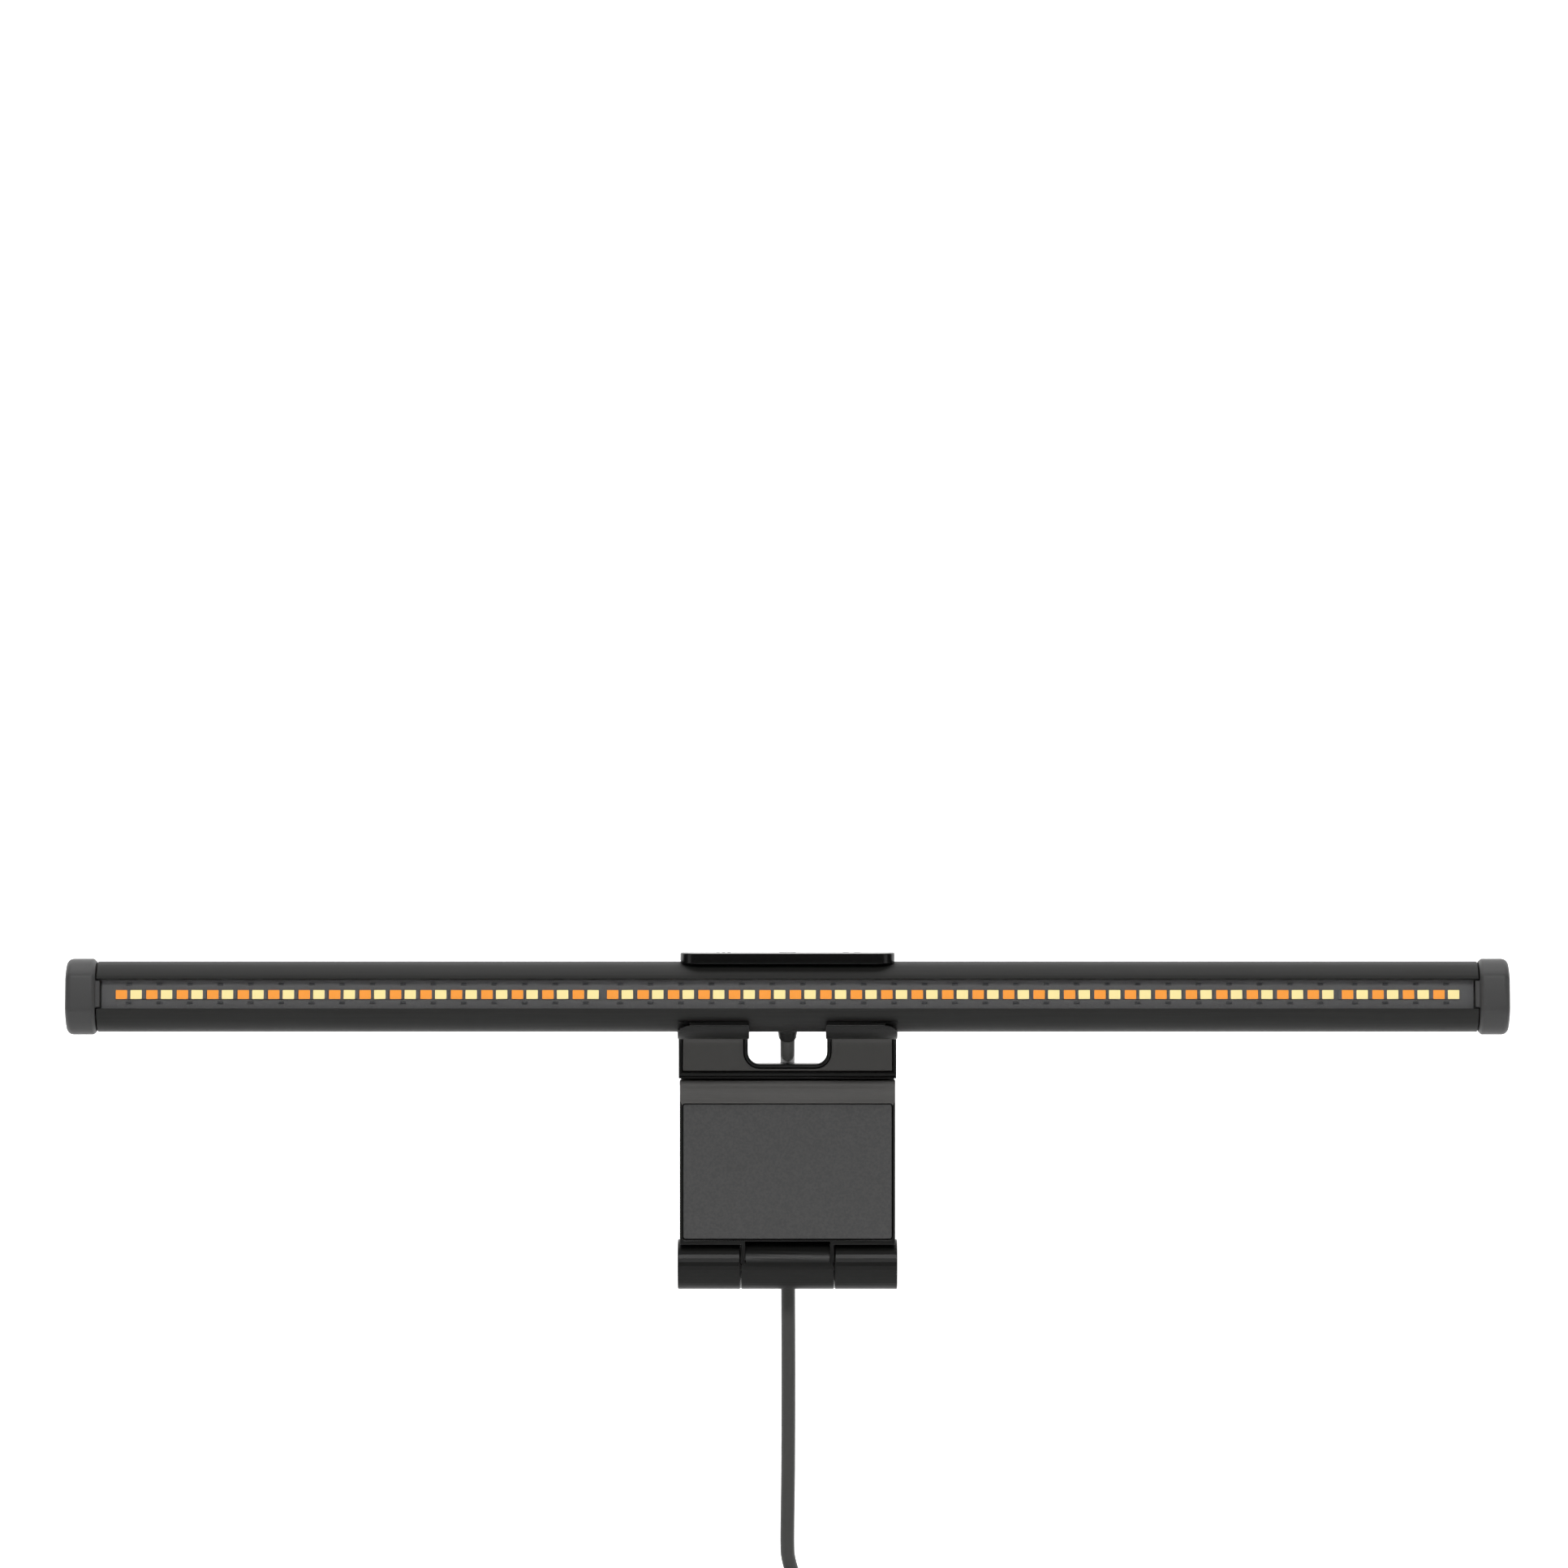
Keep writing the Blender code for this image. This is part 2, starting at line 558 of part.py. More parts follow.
def make_rear_arm(plastic, metal):
    """Hollow arm behind the clamp plate, with a steel weight under a screwed cover."""
    half = CLIP_WIDTH / 2 - PLATE_NARROWER
    front_top = HOOK_BACK + GAP
    outline = [(front_top, HOOK_LOW), (front_top, ARM_TOP)]
    outline += [(ARM_BACK - 0.0015, ARM_TOP), (ARM_BACK, ARM_TOP - 0.0015)]
    outline += [(ARM_BACK, HINGE_Z), (ARM_FRONT, HINGE_Z), (ARM_FRONT, HOOK_LOW)]
    arm = prism("rear_arm", outline, -half, half, material=plastic)
    opening = KNUCKLE_WIDTH / 2 + GAP
    knuckle_top = HINGE_Z + HINGE_R + 0.0006
    corners = ((HINGE_Y - HINGE_R - 0.001, HINGE_Z - HINGE_R - 0.001), (ARM_BACK + HINGE_R, knuckle_top))
    knuckle_gap = prism("knuckle_gap", box_outline(*corners), -opening, opening)
    room = barrel_solid("arm_barrel_room", (WASHER_R + HINGE_R) / 2, -half - 0.001, half + 0.001)
    pocket_low, pocket_high = pocket_span()
    pocket_size = (2 * pocket_half(), pocket_high - pocket_low, 0.0015)
    middle = (0.0, (pocket_low + pocket_high) / 2)
    pocket_outline = rounded_outline(*pocket_size, middle, steps=3)
    pocket = prism("arm_pocket", pocket_outline, ARM_FRONT + ARM_FLOOR, ARM_BACK + 0.001, "Y")
    cutters = [knuckle_gap, room, pocket]
    knuckles = []
    for side in (-1, 1):
        bore, seat = PIN_R + GAP, WASHER_R + GAP
        inner, floor, outer = (side * x for x in (opening, HINGE_HALF - 0.0020, HINGE_HALF))
        ring = [(bore, inner), (HINGE_R, inner), (HINGE_R, outer)]
        ring += [(seat, outer), (seat, floor), (bore, floor)]
        knuckles.append(lathe(f"arm_knuckle_{side}", ring, along_x(0.0, HINGE_Y, HINGE_Z), steps=40))
        drill = [(0.0, -0.020), (SCREW_R + GAP, -0.020), (SCREW_R + GAP, 0.005), (0.0, 0.005)]
        place = along_y(side * TILT_X, ARM_BACK, (HOOK_LOW + ARM_TOP) / 2)
        cutters.append(lathe(f"arm_screw_way_{side}", drill, place, steps=16))
    combine(arm, cutters, "DIFFERENCE")
    combine(arm, knuckles, "UNION")
    cover_low = ARM_BACK - 0.0002 - COVER_THICK
    size = (pocket_size[0] - 2 * GAP, pocket_size[1] - 2 * GAP, pocket_size[2] - GAP)
    cover_outline = rounded_outline(*size, middle, steps=3)
    cover = prism("rear_cover", cover_outline, cover_low, ARM_BACK - 0.0002, "Y", material=plastic)
    posts = []
    holes = []
    names = ((-1, -1, "lower_left"), (1, -1, "lower_right"), (-1, 1, "upper_left"), (1, 1, "upper_right"))
    for sx, sz, name in names:
        x = sx * (pocket_half() - POCKET_MARGIN)
        z = middle[1] + sz * (pocket_size[1] / 2 - POCKET_MARGIN)
        place = along_y(x, 0.0, z)
        floor = ARM_FRONT + ARM_FLOOR
        post = [(0.0, floor - 0.0005), (0.0027, floor - 0.0005), (0.0027, cover_low - GAP)]
        post += [(SCREW_R + GAP, cover_low - GAP), (SCREW_R + GAP, floor + 0.0004), (0.0, floor + 0.0004)]
        posts.append(lathe(f"cover_post_{name}", post, place, steps=16))
        low = cover_low - 0.001
        hole = [(0.0, low), (SCREW_R + GAP, low), (SCREW_R + GAP, ARM_BACK + 0.001)]
        hole.append((0.0, ARM_BACK + 0.001))
        holes.append(lathe(f"cover_hole_{name}", hole, place, steps=16))
        make_screw(f"cover_screw_{name}", place, floor + 0.0008, ARM_BACK + GAP, metal)
    combine(arm, posts, "UNION")
    combine(cover, holes, "DIFFERENCE")
    weight_low = ARM_FRONT + ARM_FLOOR + GAP
    weight_size = (WEIGHT_WIDTH, pocket_size[1] - 4 * GAP, 0.0010)
    weight_outline = rounded_outline(*weight_size, middle, steps=2)
    prism("counterweight", weight_outline, weight_low, weight_low + WEIGHT_THICK, "Y", material=metal)
    for side, name in ((-1, "arm_screw_left"), (1, "arm_screw_right")):
        place = along_y(side * TILT_X, 0.0, (HOOK_LOW + ARM_TOP) / 2)
        make_screw(name, place, HOOK_BACK - 0.0010, ARM_BACK + GAP, metal)


def pocket_half():
    return CLIP_WIDTH / 2 - PLATE_NARROWER - 0.0030


def pocket_span():
    return HINGE_Z + HINGE_R + 0.0030, HOOK_LOW - 0.0020


def make_screw(name, place, tip, seat, metal):
    """A pan-head screw along the place's Z axis, from its tip to the seat under its head."""
    profile = [(0.0, tip), (SCREW_R, tip), (SCREW_R, seat), (SCREW_HEAD_R - 0.0003, seat)]
    profile += [(SCREW_HEAD_R - 0.0003, seat + SCREW_HEAD * 0.6), (SCREW_HEAD_R * 0.6, seat + SCREW_HEAD)]
    profile += [(0.0, seat + SCREW_HEAD)]
    return lathe(name, profile, place, steps=16, material=metal)


def barrel_solid(name, radius, low, high, **kwargs):
    profile = [(0.0, low), (radius, low), (radius, high), (0.0, high)]
    return lathe(name, profile, along_x(0.0, HINGE_Y, HINGE_Z), steps=40, **kwargs)


def plate_outline():
    bend = PLATE_TOP - 0.0071
    centre = (PLATE_FRONT - NOSE_R, bend)
    nose = arc(centre, NOSE_R, 0.0, radians(52), 7)
    tip = nose[-1]
    outline = [(PLATE_BACK, HINGE_Z), (PLATE_FRONT, HINGE_Z)] + nose
    outline += [(tip[0] - 0.0006, tip[1] + 0.0006), (tip[0] - 0.0006, PLATE_TOP - 0.0004)]
    outline += [(tip[0] - 0.0002, PLATE_TOP), (PLATE_BACK, PLATE_TOP)]
    return outline


def make_clamp_plate(plastic, rubber):
    """The plate that presses on the back of the screen, with the middle knuckle of the hinge."""
    axis = make_empty("hinge_axis", (0.0, HINGE_Y, HINGE_Z))
    half = CLIP_WIDTH / 2 - PLATE_NARROWER / 2
    plate = prism("clamp_plate", plate_outline(), -half, half, material=plastic)
    knuckle_half = KNUCKLE_WIDTH / 2
    tab_half = knuckle_half - BARREL_PROUD
    sides = []
    for side in (-1, 1):
        room = box_outline((PLATE_FRONT - 0.001, HINGE_Z - 0.001), (PLATE_BACK + 0.001, PLATE_LOW))
        sides.append(prism(f"knuckle_room_{side}", room, *sorted((side * tab_half, side * (half + 0.001)))))
    window_half = knuckle_half - KNUCKLE_STRIP
    corners = ((PLATE_FRONT - 0.001, HINGE_Z - 0.001), (PLATE_BACK + 0.001, HINGE_Z + KNUCKLE_WINDOW))
    window = prism("knuckle_window", box_outline(*corners), -window_half, window_half)
    facing_low, facing_high = PLATE_LOW + 0.0016, PLATE_TOP - 0.0075
    facing_size = (2 * half - 0.0016, facing_high - facing_low, 0.0010)
    middle = (0.0, (facing_low + facing_high) / 2)
    seat_outline = rounded_outline(*facing_size, middle, steps=3)
    seat = prism("facing_seat", seat_outline, PLATE_FRONT - 0.001, PLATE_FRONT + FACING_THICK + GAP, "Y")
    combine(plate, [*sides, window, seat], "DIFFERENCE")
    room = barrel_solid("knuckle_wall", (WASHER_R + HINGE_R) / 2, -half, half)
    combine(plate, [room], "DIFFERENCE")
    bore, seat = PIN_R + GAP, WASHER_R + GAP
    floor = knuckle_half - WASHER_THICK - GAP
    ring = [(bore, -floor), (seat, -floor), (seat, -knuckle_half), (HINGE_R, -knuckle_half)]
    ring += [(radius, -x) for radius, x in reversed(ring)]
    place = along_x(0.0, HINGE_Y, HINGE_Z)
    combine(plate, [lathe("middle_knuckle", ring, place, steps=40)], "UNION")
    size = (facing_size[0] - 2 * GAP, facing_size[1] - 2 * GAP, facing_size[2] - GAP)
    face_outline = rounded_outline(*size, middle, steps=3)
    facing_back = PLATE_FRONT + FACING_THICK
    facing = prism("clamp_facing", face_outline, PLATE_FRONT, facing_back, "Y", material=rubber)
    for piece in (plate, facing):
        piece.parent = axis
        piece.matrix_parent_inverse = Matrix.Translation((0.0, -HINGE_Y, -HINGE_Z))


def make_hinge(metal, plastic):
    barrel_solid("hinge_pin", PIN_R, -HINGE_HALF + 0.0024, HINGE_HALF - 0.0024, material=metal)
    for side, word in ((-1, "left"), (1, "right")):
        ends = sorted((side * (HINGE_HALF - 0.0020 + GAP), side * HINGE_HALF))
        barrel_solid(f"hinge_end_{word}", WASHER_R, *ends, material=plastic)
        seat = KNUCKLE_WIDTH / 2 - WASHER_THICK
        low, high = sorted((side * seat, side * (seat + WASHER_THICK)))
        ring = [(PIN_R + GAP, low), (WASHER_R, low), (WASHER_R, high), (PIN_R + GAP, high)]
        place = along_x(0.0, HINGE_Y, HINGE_Z)
        lathe(f"friction_washer_{word}", ring, place, steps=32, material=metal)


def smooth_route(points, steps):
    """A smooth curve through hand-chosen points, as many short Bezier spans."""
    places = [Vector(point) for point in points]
    slopes = [(b - a) / 2 for a, b in zip(places[:1] + places, places[1:] + places[-1:])]
    slopes = slopes[:len(places)]
    route = [places[0]]
    for a, b, slope_a, slope_b in zip(places, places[1:], slopes, slopes[1:]):
        scale = min(1.0, (b - a).length / max(slope_a.length, slope_b.length))
        route += interpolate_bezier(a, a + slope_a * scale / 3, b - slope_b * scale / 3, b, steps + 1)[1:]
    return route


def make_tube(name, points, material):
    curve = bpy.data.curves.new(name, "CURVE")
    curve.dimensions = "3D"
    curve.bevel_depth = CORD_D / 2
    curve.bevel_resolution = 2
    curve.use_fill_caps = True
    spline = curve.splines.new("POLY")
    spline.points.add(len(points) - 1)
    for target, point in zip(spline.points, points):
        target.co = (*point, 1.0)
    return make_object(name, curve, material)


def make_cord(cable, plastic, metal):
    """The lead from the gland down behind the arm, its stored coil, and the plug."""
    tip = GLAND_START + GAP
    start = Vector((0.0, *cradle_point(tip, GLAND_ANGLE)))
    aim = Vector((0.0, sin(GLAND_ANGLE), -cos(GLAND_ANGLE)))
    over_notch = NOTCH_LOW + CORD_D / 2 + 2 * GAP
    behind = ARM_BACK + CORD_D / 2
    route = [start, start + aim * 0.0028]
    route += [(0.0, 0.0008, over_notch + 0.0024), (0.0, 0.0044, over_notch + 0.0007)]
    route += [(0.0, WALL_FRONT + 0.0018, over_notch + 0.0002), (0.0, ARM_FRONT, over_notch + 0.0001)]
    route += [(0.0, ARM_BACK - 0.0015, over_notch - 0.0002), (0.0, behind + 0.0022, over_notch - 0.0034)]
    route += [(0.0, behind + 0.0056, -0.0200), (0.0, behind + 0.0066, -0.0270)]
    route += [(0.0, CORD_BACK + 0.0014, -0.0400)]
    route += [(0.0001, CORD_BACK + 0.0009, -0.0600), (0.0002, CORD_BACK + 0.0006, -0.0850)]
    route += [(0.0003, CORD_BACK + 0.0002, -0.1150), (0.0002, CORD_BACK, -0.1450)]
    route += [(0.0, CORD_BACK, -0.1700), (0.0, CORD_BACK, COIL_TOP + GAP)]
    make_tube("cord_run", smooth_route(route, 4), cable)
    half = COIL_SECTION / 2
    ring = [(COIL_R - half, -half + 0.003), (COIL_R - half + 0.003, -half), (COIL_R + half - 0.003, -half)]
    ring += [(COIL_R + half, -half + 0.003), (COIL_R + half, half - 0.003), (COIL_R + half - 0.003, half)]
    ring += [(COIL_R - half + 0.003, half), (COIL_R - half, half - 0.003)]
    lathe("cord_coil", ring, along_y(0.0, CORD_BACK, COIL_Z), steps=40, material=cable)
    inner, outer = COIL_SECTION + 4 * GAP, COIL_SECTION + 4 * GAP + 0.0016
    tie = prism("cord_tie", rounded_outline(outer, outer, 0.003, (-COIL_R, CORD_BACK), 3), -0.003, 0.003, "Z",
                material=plastic)
    hole_outline = rounded_outline(inner, inner, 0.0022, (-COIL_R, CORD_BACK), 3)
    hole = prism("cord_tie_hole", hole_outline, -0.006, 0.006, "Z")
    combine(tie, [hole], "DIFFERENCE")
    for piece in (tie, hole):
        piece.location.z = COIL_Z
    exit_x = COIL_R + half - CORD_D / 2
    tail = [(exit_x, CORD_BACK - half - CORD_D / 2 - GAP, COIL_Z + 0.004)]
    tail += [(exit_x, CORD_BACK - half - CORD_D / 2 - GAP, COIL_Z - 0.006)]
    tail += [(exit_x - 0.0006, CORD_BACK - half - 0.0012, COIL_Z - 0.020)]
    tail += [(exit_x - 0.0012, CORD_BACK - 0.0050, COIL_Z - 0.034)]
    tail += [(exit_x - 0.0014, CORD_BACK - 0.0046, COIL_Z - 0.044)]
    make_tube("cord_tail", smooth_route(tail, 5), cable)
    plug_x, plug_y = tail[-1][0], tail[-1][1]
    plug_top = tail[-1][2] - GAP
    relief = [(0.0, 0.0), (CORD_D / 2 + 0.0004, 0.0)]
    relief += [(CORD_D / 2 + 0.0012, -PLUG_RELIEF), (0.0, -PLUG_RELIEF)]
    place = Matrix.Translation((plug_x, plug_y, plug_top))
    relief = lathe("plug_relief", relief, place, steps=16)
    body_top = plug_top - PLUG_RELIEF + 0.0005
    body_low = body_top - PLUG_BODY
    outline = rounded_outline(PLUG_WIDTH, PLUG_DEPTH, 0.0025, (plug_x, plug_y), 4)
    body = prism("usb_plug", outline, body_low, body_top, "Z", material=plastic)
    combine(body, [relief], "UNION")
    outline = rounded_outline(SHELL_WIDTH, SHELL_DEPTH, 0.0005, (plug_x, plug_y), 2)
    shell = prism("usb_shell", outline, body_low - GAP - SHELL_LENGTH, body_low - GAP, "Z", material=metal)
    hollow = rounded_outline(SHELL_WIDTH - 0.0008, SHELL_DEPTH - 0.0008, 0.0003, (plug_x, plug_y), 2)
    hollow = prism("usb_hollow", hollow, body_low - GAP - SHELL_LENGTH - 0.001, body_low - GAP - 0.0015, "Z")
    combine(shell, [hollow], "DIFFERENCE")


def build():
    clear_scene()
    materials = {
        "tube": make_material("anodised_aluminium", (0.045, 0.045, 0.044), 0.42, metallic=0.6),
        "cap": make_material("moulded_abs", (0.050, 0.050, 0.050), 0.5),
        "pad": make_material("gloss_touch_cover", (0.020, 0.020, 0.020), 0.15),
        "clip": make_material("moulded_nylon", (0.040, 0.040, 0.038), 0.45),
        "rubber": make_material("silicone_pad", (0.065, 0.065, 0.065), 0.8),
        "board": make_material("circuit_board", (0.070, 0.075, 0.080), 0.6),
        "lens": make_material("clear_lens", (0.9, 0.9, 0.9), 0.1, transmission=1.0),
        "steel": make_material("plated_steel", (0.55, 0.55, 0.55), 0.35, metallic=1.0),
        "cable": make_material("cable_jacket", (0.060, 0.060, 0.058), 0.55),
    }
    make_bar(materials)
    make_hook(materials["clip"], materials["rubber"])
    make_rear_arm(materials["clip"], materials["steel"])
    make_clamp_plate(materials["clip"], materials["rubber"])
    make_hinge(materials["steel"], materials["clip"])
    make_cord(materials["cable"], materials["cap"], materials["steel"])


build()
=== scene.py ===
import json
from math import cos, pi, radians, sin

import bmesh
import bpy
from mathutils import Matrix, Vector
from mathutils.bvhtree import BVHTree
from mathutils.geometry import interpolate_bezier


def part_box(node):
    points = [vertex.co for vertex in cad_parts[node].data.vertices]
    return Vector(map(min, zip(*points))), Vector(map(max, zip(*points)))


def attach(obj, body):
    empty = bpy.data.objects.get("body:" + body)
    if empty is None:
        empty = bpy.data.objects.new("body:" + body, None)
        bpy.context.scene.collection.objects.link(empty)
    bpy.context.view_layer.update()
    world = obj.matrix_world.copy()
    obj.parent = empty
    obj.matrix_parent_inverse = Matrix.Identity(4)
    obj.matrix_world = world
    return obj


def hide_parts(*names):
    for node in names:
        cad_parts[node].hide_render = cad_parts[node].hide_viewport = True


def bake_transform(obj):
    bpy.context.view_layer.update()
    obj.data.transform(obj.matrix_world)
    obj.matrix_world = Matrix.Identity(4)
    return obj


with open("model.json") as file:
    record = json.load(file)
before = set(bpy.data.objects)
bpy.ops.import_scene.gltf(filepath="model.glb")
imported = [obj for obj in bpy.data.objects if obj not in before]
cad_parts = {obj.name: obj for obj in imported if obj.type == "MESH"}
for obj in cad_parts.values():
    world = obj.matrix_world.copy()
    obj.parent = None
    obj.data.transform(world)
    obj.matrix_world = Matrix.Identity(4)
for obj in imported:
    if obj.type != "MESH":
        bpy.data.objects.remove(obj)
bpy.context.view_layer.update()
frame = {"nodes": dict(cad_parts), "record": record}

joints = {joint["name"]: joint for joint in frame["record"]["behaviour"]["joints"]}
tiltAxis = Vector(joints["bar_tilt"]["pos_m"])
hingeAxis = Vector(joints["plate_swing"]["pos_m"])


# colours and nodes

def toLinear(hexColour):
    # sRGB hex to the linear colour that a shader takes
    channels = [int(hexColour[i:i + 2], 16) / 255 for i in (0, 2, 4)]
    return (*[c / 12.92 if c <= 0.04045 else ((c + 0.055) / 1.055) ** 2.4 for c in channels], 1.0)


def addNode(tree, kind, settings=None, links=None):
    # settings are properties or input values, links go from a socket of another node to an input here
    node = tree.nodes.new(kind)
    for key, value in (settings or {}).items():
        if isinstance(key, str) and hasattr(node, key):
            setattr(node, key, value)
        else:
            node.inputs[key].default_value = value
    for key, source in (links or {}).items():
        tree.links.new(source, node.inputs[key])
    return node


def newMaterial(name, hexColour, roughness, **shaderValues):
    material = bpy.data.materials.new(name)
    material.use_nodes = True
    shader = material.node_tree.nodes["Principled BSDF"]
    shader.inputs["Base Color"].default_value = toLinear(hexColour)
    shader.inputs["Roughness"].default_value = roughness
    for key, value in shaderValues.items():
        shader.inputs[key.replace("_", " ")].default_value = value
    return material, material.node_tree, shader


def addGrain(tree, shader, look):
    # a moulded or blasted skin: fine noise in the bump and tones, broad noise in the gloss
    # grain and patch are the real sizes of the two noises, and depth is the bump's height, in metres
    place = addNode(tree, "ShaderNodeTexCoord")
    stretch = addNode(tree, "ShaderNodeMapping", {"Scale": look["stretch"]},
                      {"Vector": place.outputs["Object"]})
    fine = addNode(tree, "ShaderNodeTexNoise", {"Scale": 1 / look["grain"], "Detail": 3.0},
                   {"Vector": stretch.outputs["Vector"]})
    bump = addNode(tree, "ShaderNodeBump", {"Strength": look["bump"], "Distance": look["depth"]},
                   {"Height": fine.outputs["Fac"]})
    tree.links.new(bump.outputs["Normal"], shader.inputs["Normal"])
    broad = addNode(tree, "ShaderNodeTexNoise", {"Scale": 1 / look["patch"], "Detail": 4.0},
                    {"Vector": place.outputs["Object"]})
    low, high = look["gloss"]
    gloss = addNode(tree, "ShaderNodeMapRange", {"To Min": low, "To Max": high},
                    {"Value": broad.outputs["Fac"]})
    tree.links.new(gloss.outputs["Result"], shader.inputs["Roughness"])
    if "tones" in look:
        ramp = addNode(tree, "ShaderNodeValToRGB", None, {"Fac": fine.outputs["Fac"]})
        for stop, tone in zip(ramp.color_ramp.elements, look["tones"]):
            stop.color = toLinear(tone)
        ramp.color_ramp.elements[0].position = 0.35
        ramp.color_ramp.elements[1].position = 0.65
        tree.links.new(ramp.outputs["Color"], shader.inputs["Base Color"])


plain = (1.0, 1.0, 1.0)


def makeMaterials():
    made = {}
    # anodised aluminium extrusion: dark, satin, faint die lines along the bar
    made["tube"], tree, shader = newMaterial("anodisedAluminium", "262625", 0.50, Specular_IOR_Level=0.3)
    addGrain(tree, shader, {"stretch": (0.02, 1.0, 1.0), "grain": 0.0006, "bump": 0.10, "depth": 0.00002,
                            "patch": 0.030, "gloss": (0.44, 0.52), "tones": ("242423", "282827")})
    # moulded ABS caps: spark-eroded skin, slightly lighter than the tube
    made["cap"], tree, shader = newMaterial("mouldedAbs", "484848", 0.48)
    addGrain(tree, shader, {"stretch": plain, "grain": 0.0003, "bump": 0.12, "depth": 0.00003,
                            "patch": 0.012, "gloss": (0.44, 0.52)})
    # moulded nylon clip: satin, with soft highlights on its edges
    made["clip"], tree, shader = newMaterial("mouldedNylon", "181817", 0.32, Specular_IOR_Level=0.32)
    addGrain(tree, shader, {"stretch": plain, "grain": 0.0004, "bump": 0.10, "depth": 0.00003,
                            "patch": 0.015, "gloss": (0.30, 0.38)})
    # silicone facing: dead matte, fine speckle
    made["rubber"], tree, shader = newMaterial("matteSilicone", "474747", 0.85)
    addGrain(tree, shader, {"stretch": plain, "grain": 0.0007, "bump": 0.20, "depth": 0.00004,
                            "patch": 0.020, "gloss": (0.78, 0.90), "tones": ("525252", "595959")})
    # silicone in the throat: smoother, picks up a soft sheen; its base is lighter than the facing silicone's,
    # painted light that brightens the shaded throat and its curve
    made["throat"], tree, shader = newMaterial("satinSilicone", "5e5d5b", 0.40)
    addGrain(tree, shader, {"stretch": plain, "grain": 0.0005, "bump": 0.12, "depth": 0.00003,
                            "patch": 0.015, "gloss": (0.36, 0.46)})
    # gloss polycarbonate touch cover
    made["pad"], tree, shader = newMaterial("glossPolycarbonate", "0c0c0c", 0.14, Specular_IOR_Level=0.35)
    addGrain(tree, shader, {"stretch": plain, "grain": 0.0040, "bump": 0.03, "depth": 0.00002,
                            "patch": 0.020, "gloss": (0.13, 0.20)})
    # printed keys on the touch cover: pale grey ink
    made["ink"], tree, shader = newMaterial("padInk", "8c8c8c", 0.5)
    addGrain(tree, shader, {"stretch": plain, "grain": 0.0005, "bump": 0.05, "depth": 0.00001,
                            "patch": 0.005, "gloss": (0.45, 0.55)})
    # glass-fibre board under black solder mask: a faint weave
    made["board"], tree, shader = newMaterial("solderMask", "464648", 0.55)
    addGrain(tree, shader, {"stretch": plain, "grain": 0.0005, "bump": 0.12, "depth": 0.00002,
                            "patch": 0.020, "gloss": (0.50, 0.60), "tones": ("626264", "676869")})
    # clear acrylic lens: all but invisible, with a thin reflection
    made["lens"], tree, shader = newMaterial("clearAcrylic", "9a9a9a", 0.20, Alpha=0.05, IOR=1.49)
    addGrain(tree, shader, {"stretch": plain, "grain": 0.0030, "bump": 0.02, "depth": 0.00001,
                            "patch": 0.030, "gloss": (0.16, 0.24)})
    # LED phosphor under clear silicone: warm and cool white, with a faint painted glow although the LEDs are
    # switched off
    for key, colour in (("warm", "f89c38"), ("cool", "fae8a2")):
        glow = toLinear(colour)
        made[key], tree, shader = newMaterial(f"{key}Phosphor", colour, 0.55, Emission_Color=glow,
                                              Emission_Strength=0.55, Specular_IOR_Level=0.2)
        addGrain(tree, shader, {"stretch": plain, "grain": 0.0004, "bump": 0.06, "depth": 0.00001,
                                "patch": 0.003, "gloss": (0.50, 0.60)})
    # LED package body: dark moulding with a cold tint
    made["package"], tree, shader = newMaterial("ledPackage", "3d454e", 0.45)
    addGrain(tree, shader, {"stretch": plain, "grain": 0.0003, "bump": 0.05, "depth": 0.00001,
                            "patch": 0.003, "gloss": (0.40, 0.50)})
    # chip resistors beside the LEDs: dark ceramic
    made["resistor"], tree, shader = newMaterial("chipResistor", "303236", 0.5)
    addGrain(tree, shader, {"stretch": plain, "grain": 0.0003, "bump": 0.05, "depth": 0.00001,
                            "patch": 0.003, "gloss": (0.45, 0.55)})
    # nickel-plated steel: screws, pin and plug shell
    made["steel"], tree, shader = newMaterial("nickelPlatedSteel", "b4b2ae", 0.30, Metallic=1.0)
    addGrain(tree, shader, {"stretch": plain, "grain": 0.0005, "bump": 0.08, "depth": 0.00002,
                            "patch": 0.004, "gloss": (0.24, 0.38)})
    # black-oxide screws, darker than the plug
    made["screw"], tree, shader = newMaterial("blackOxideSteel", "3a3a3c", 0.35, Metallic=0.9)
    addGrain(tree, shader, {"stretch": plain, "grain": 0.0004, "bump": 0.08, "depth": 0.00002,
                            "patch": 0.003, "gloss": (0.30, 0.42)})
    # PVC jacket of the lead: satin, very slightly waxy
    made["cable"], tree, shader = newMaterial("pvcJacket", "4a4a48", 0.48)
    addGrain(tree, shader, {"stretch": plain, "grain": 0.0010, "bump": 0.10, "depth": 0.00003,
                            "patch": 0.012, "gloss": (0.42, 0.54)})
    # hook-and-loop tie: woven fuzz
    made["tie"], tree, shader = newMaterial("wovenTie", "2a2a2a", 0.95, Sheen_Weight=0.3)
    addGrain(tree, shader, {"stretch": plain, "grain": 0.0006, "bump": 0.6, "depth": 0.00010,
                            "patch": 0.004, "gloss": (0.90, 1.0), "tones": ("242424", "303030")})
    return made


materials = makeMaterials()
print("materials", len(materials))


# camera, lights and floor

stageSizes = {"distance": 2.600, "cameraUp": 0.1328, "cameraSide": -0.0011, "focal": 191.06, "shift": -0.1355,
              "sensor": 36.0, "floor": -0.345, "reach": 6.0, "wallBack": 2.6, "bend": 0.8, "bendSteps": 16,
              "glowFrom": 0.1, "glowTo": 0.8, "aim": -0.03}

# name: place, width and height, watts
softBoxes = {"frontBox": ((0.0, -2.2, 1.5), (2.4, 0.4), 27), "topBox": ((0.0, 0.1, 1.4), (2.0, 0.6), 9),
             "leftBox": ((-1.8, -0.9, 0.5), (0.8, 1.4), 3), "rightBox": ((1.8, -0.9, 0.5), (0.8, 1.4), 3)}


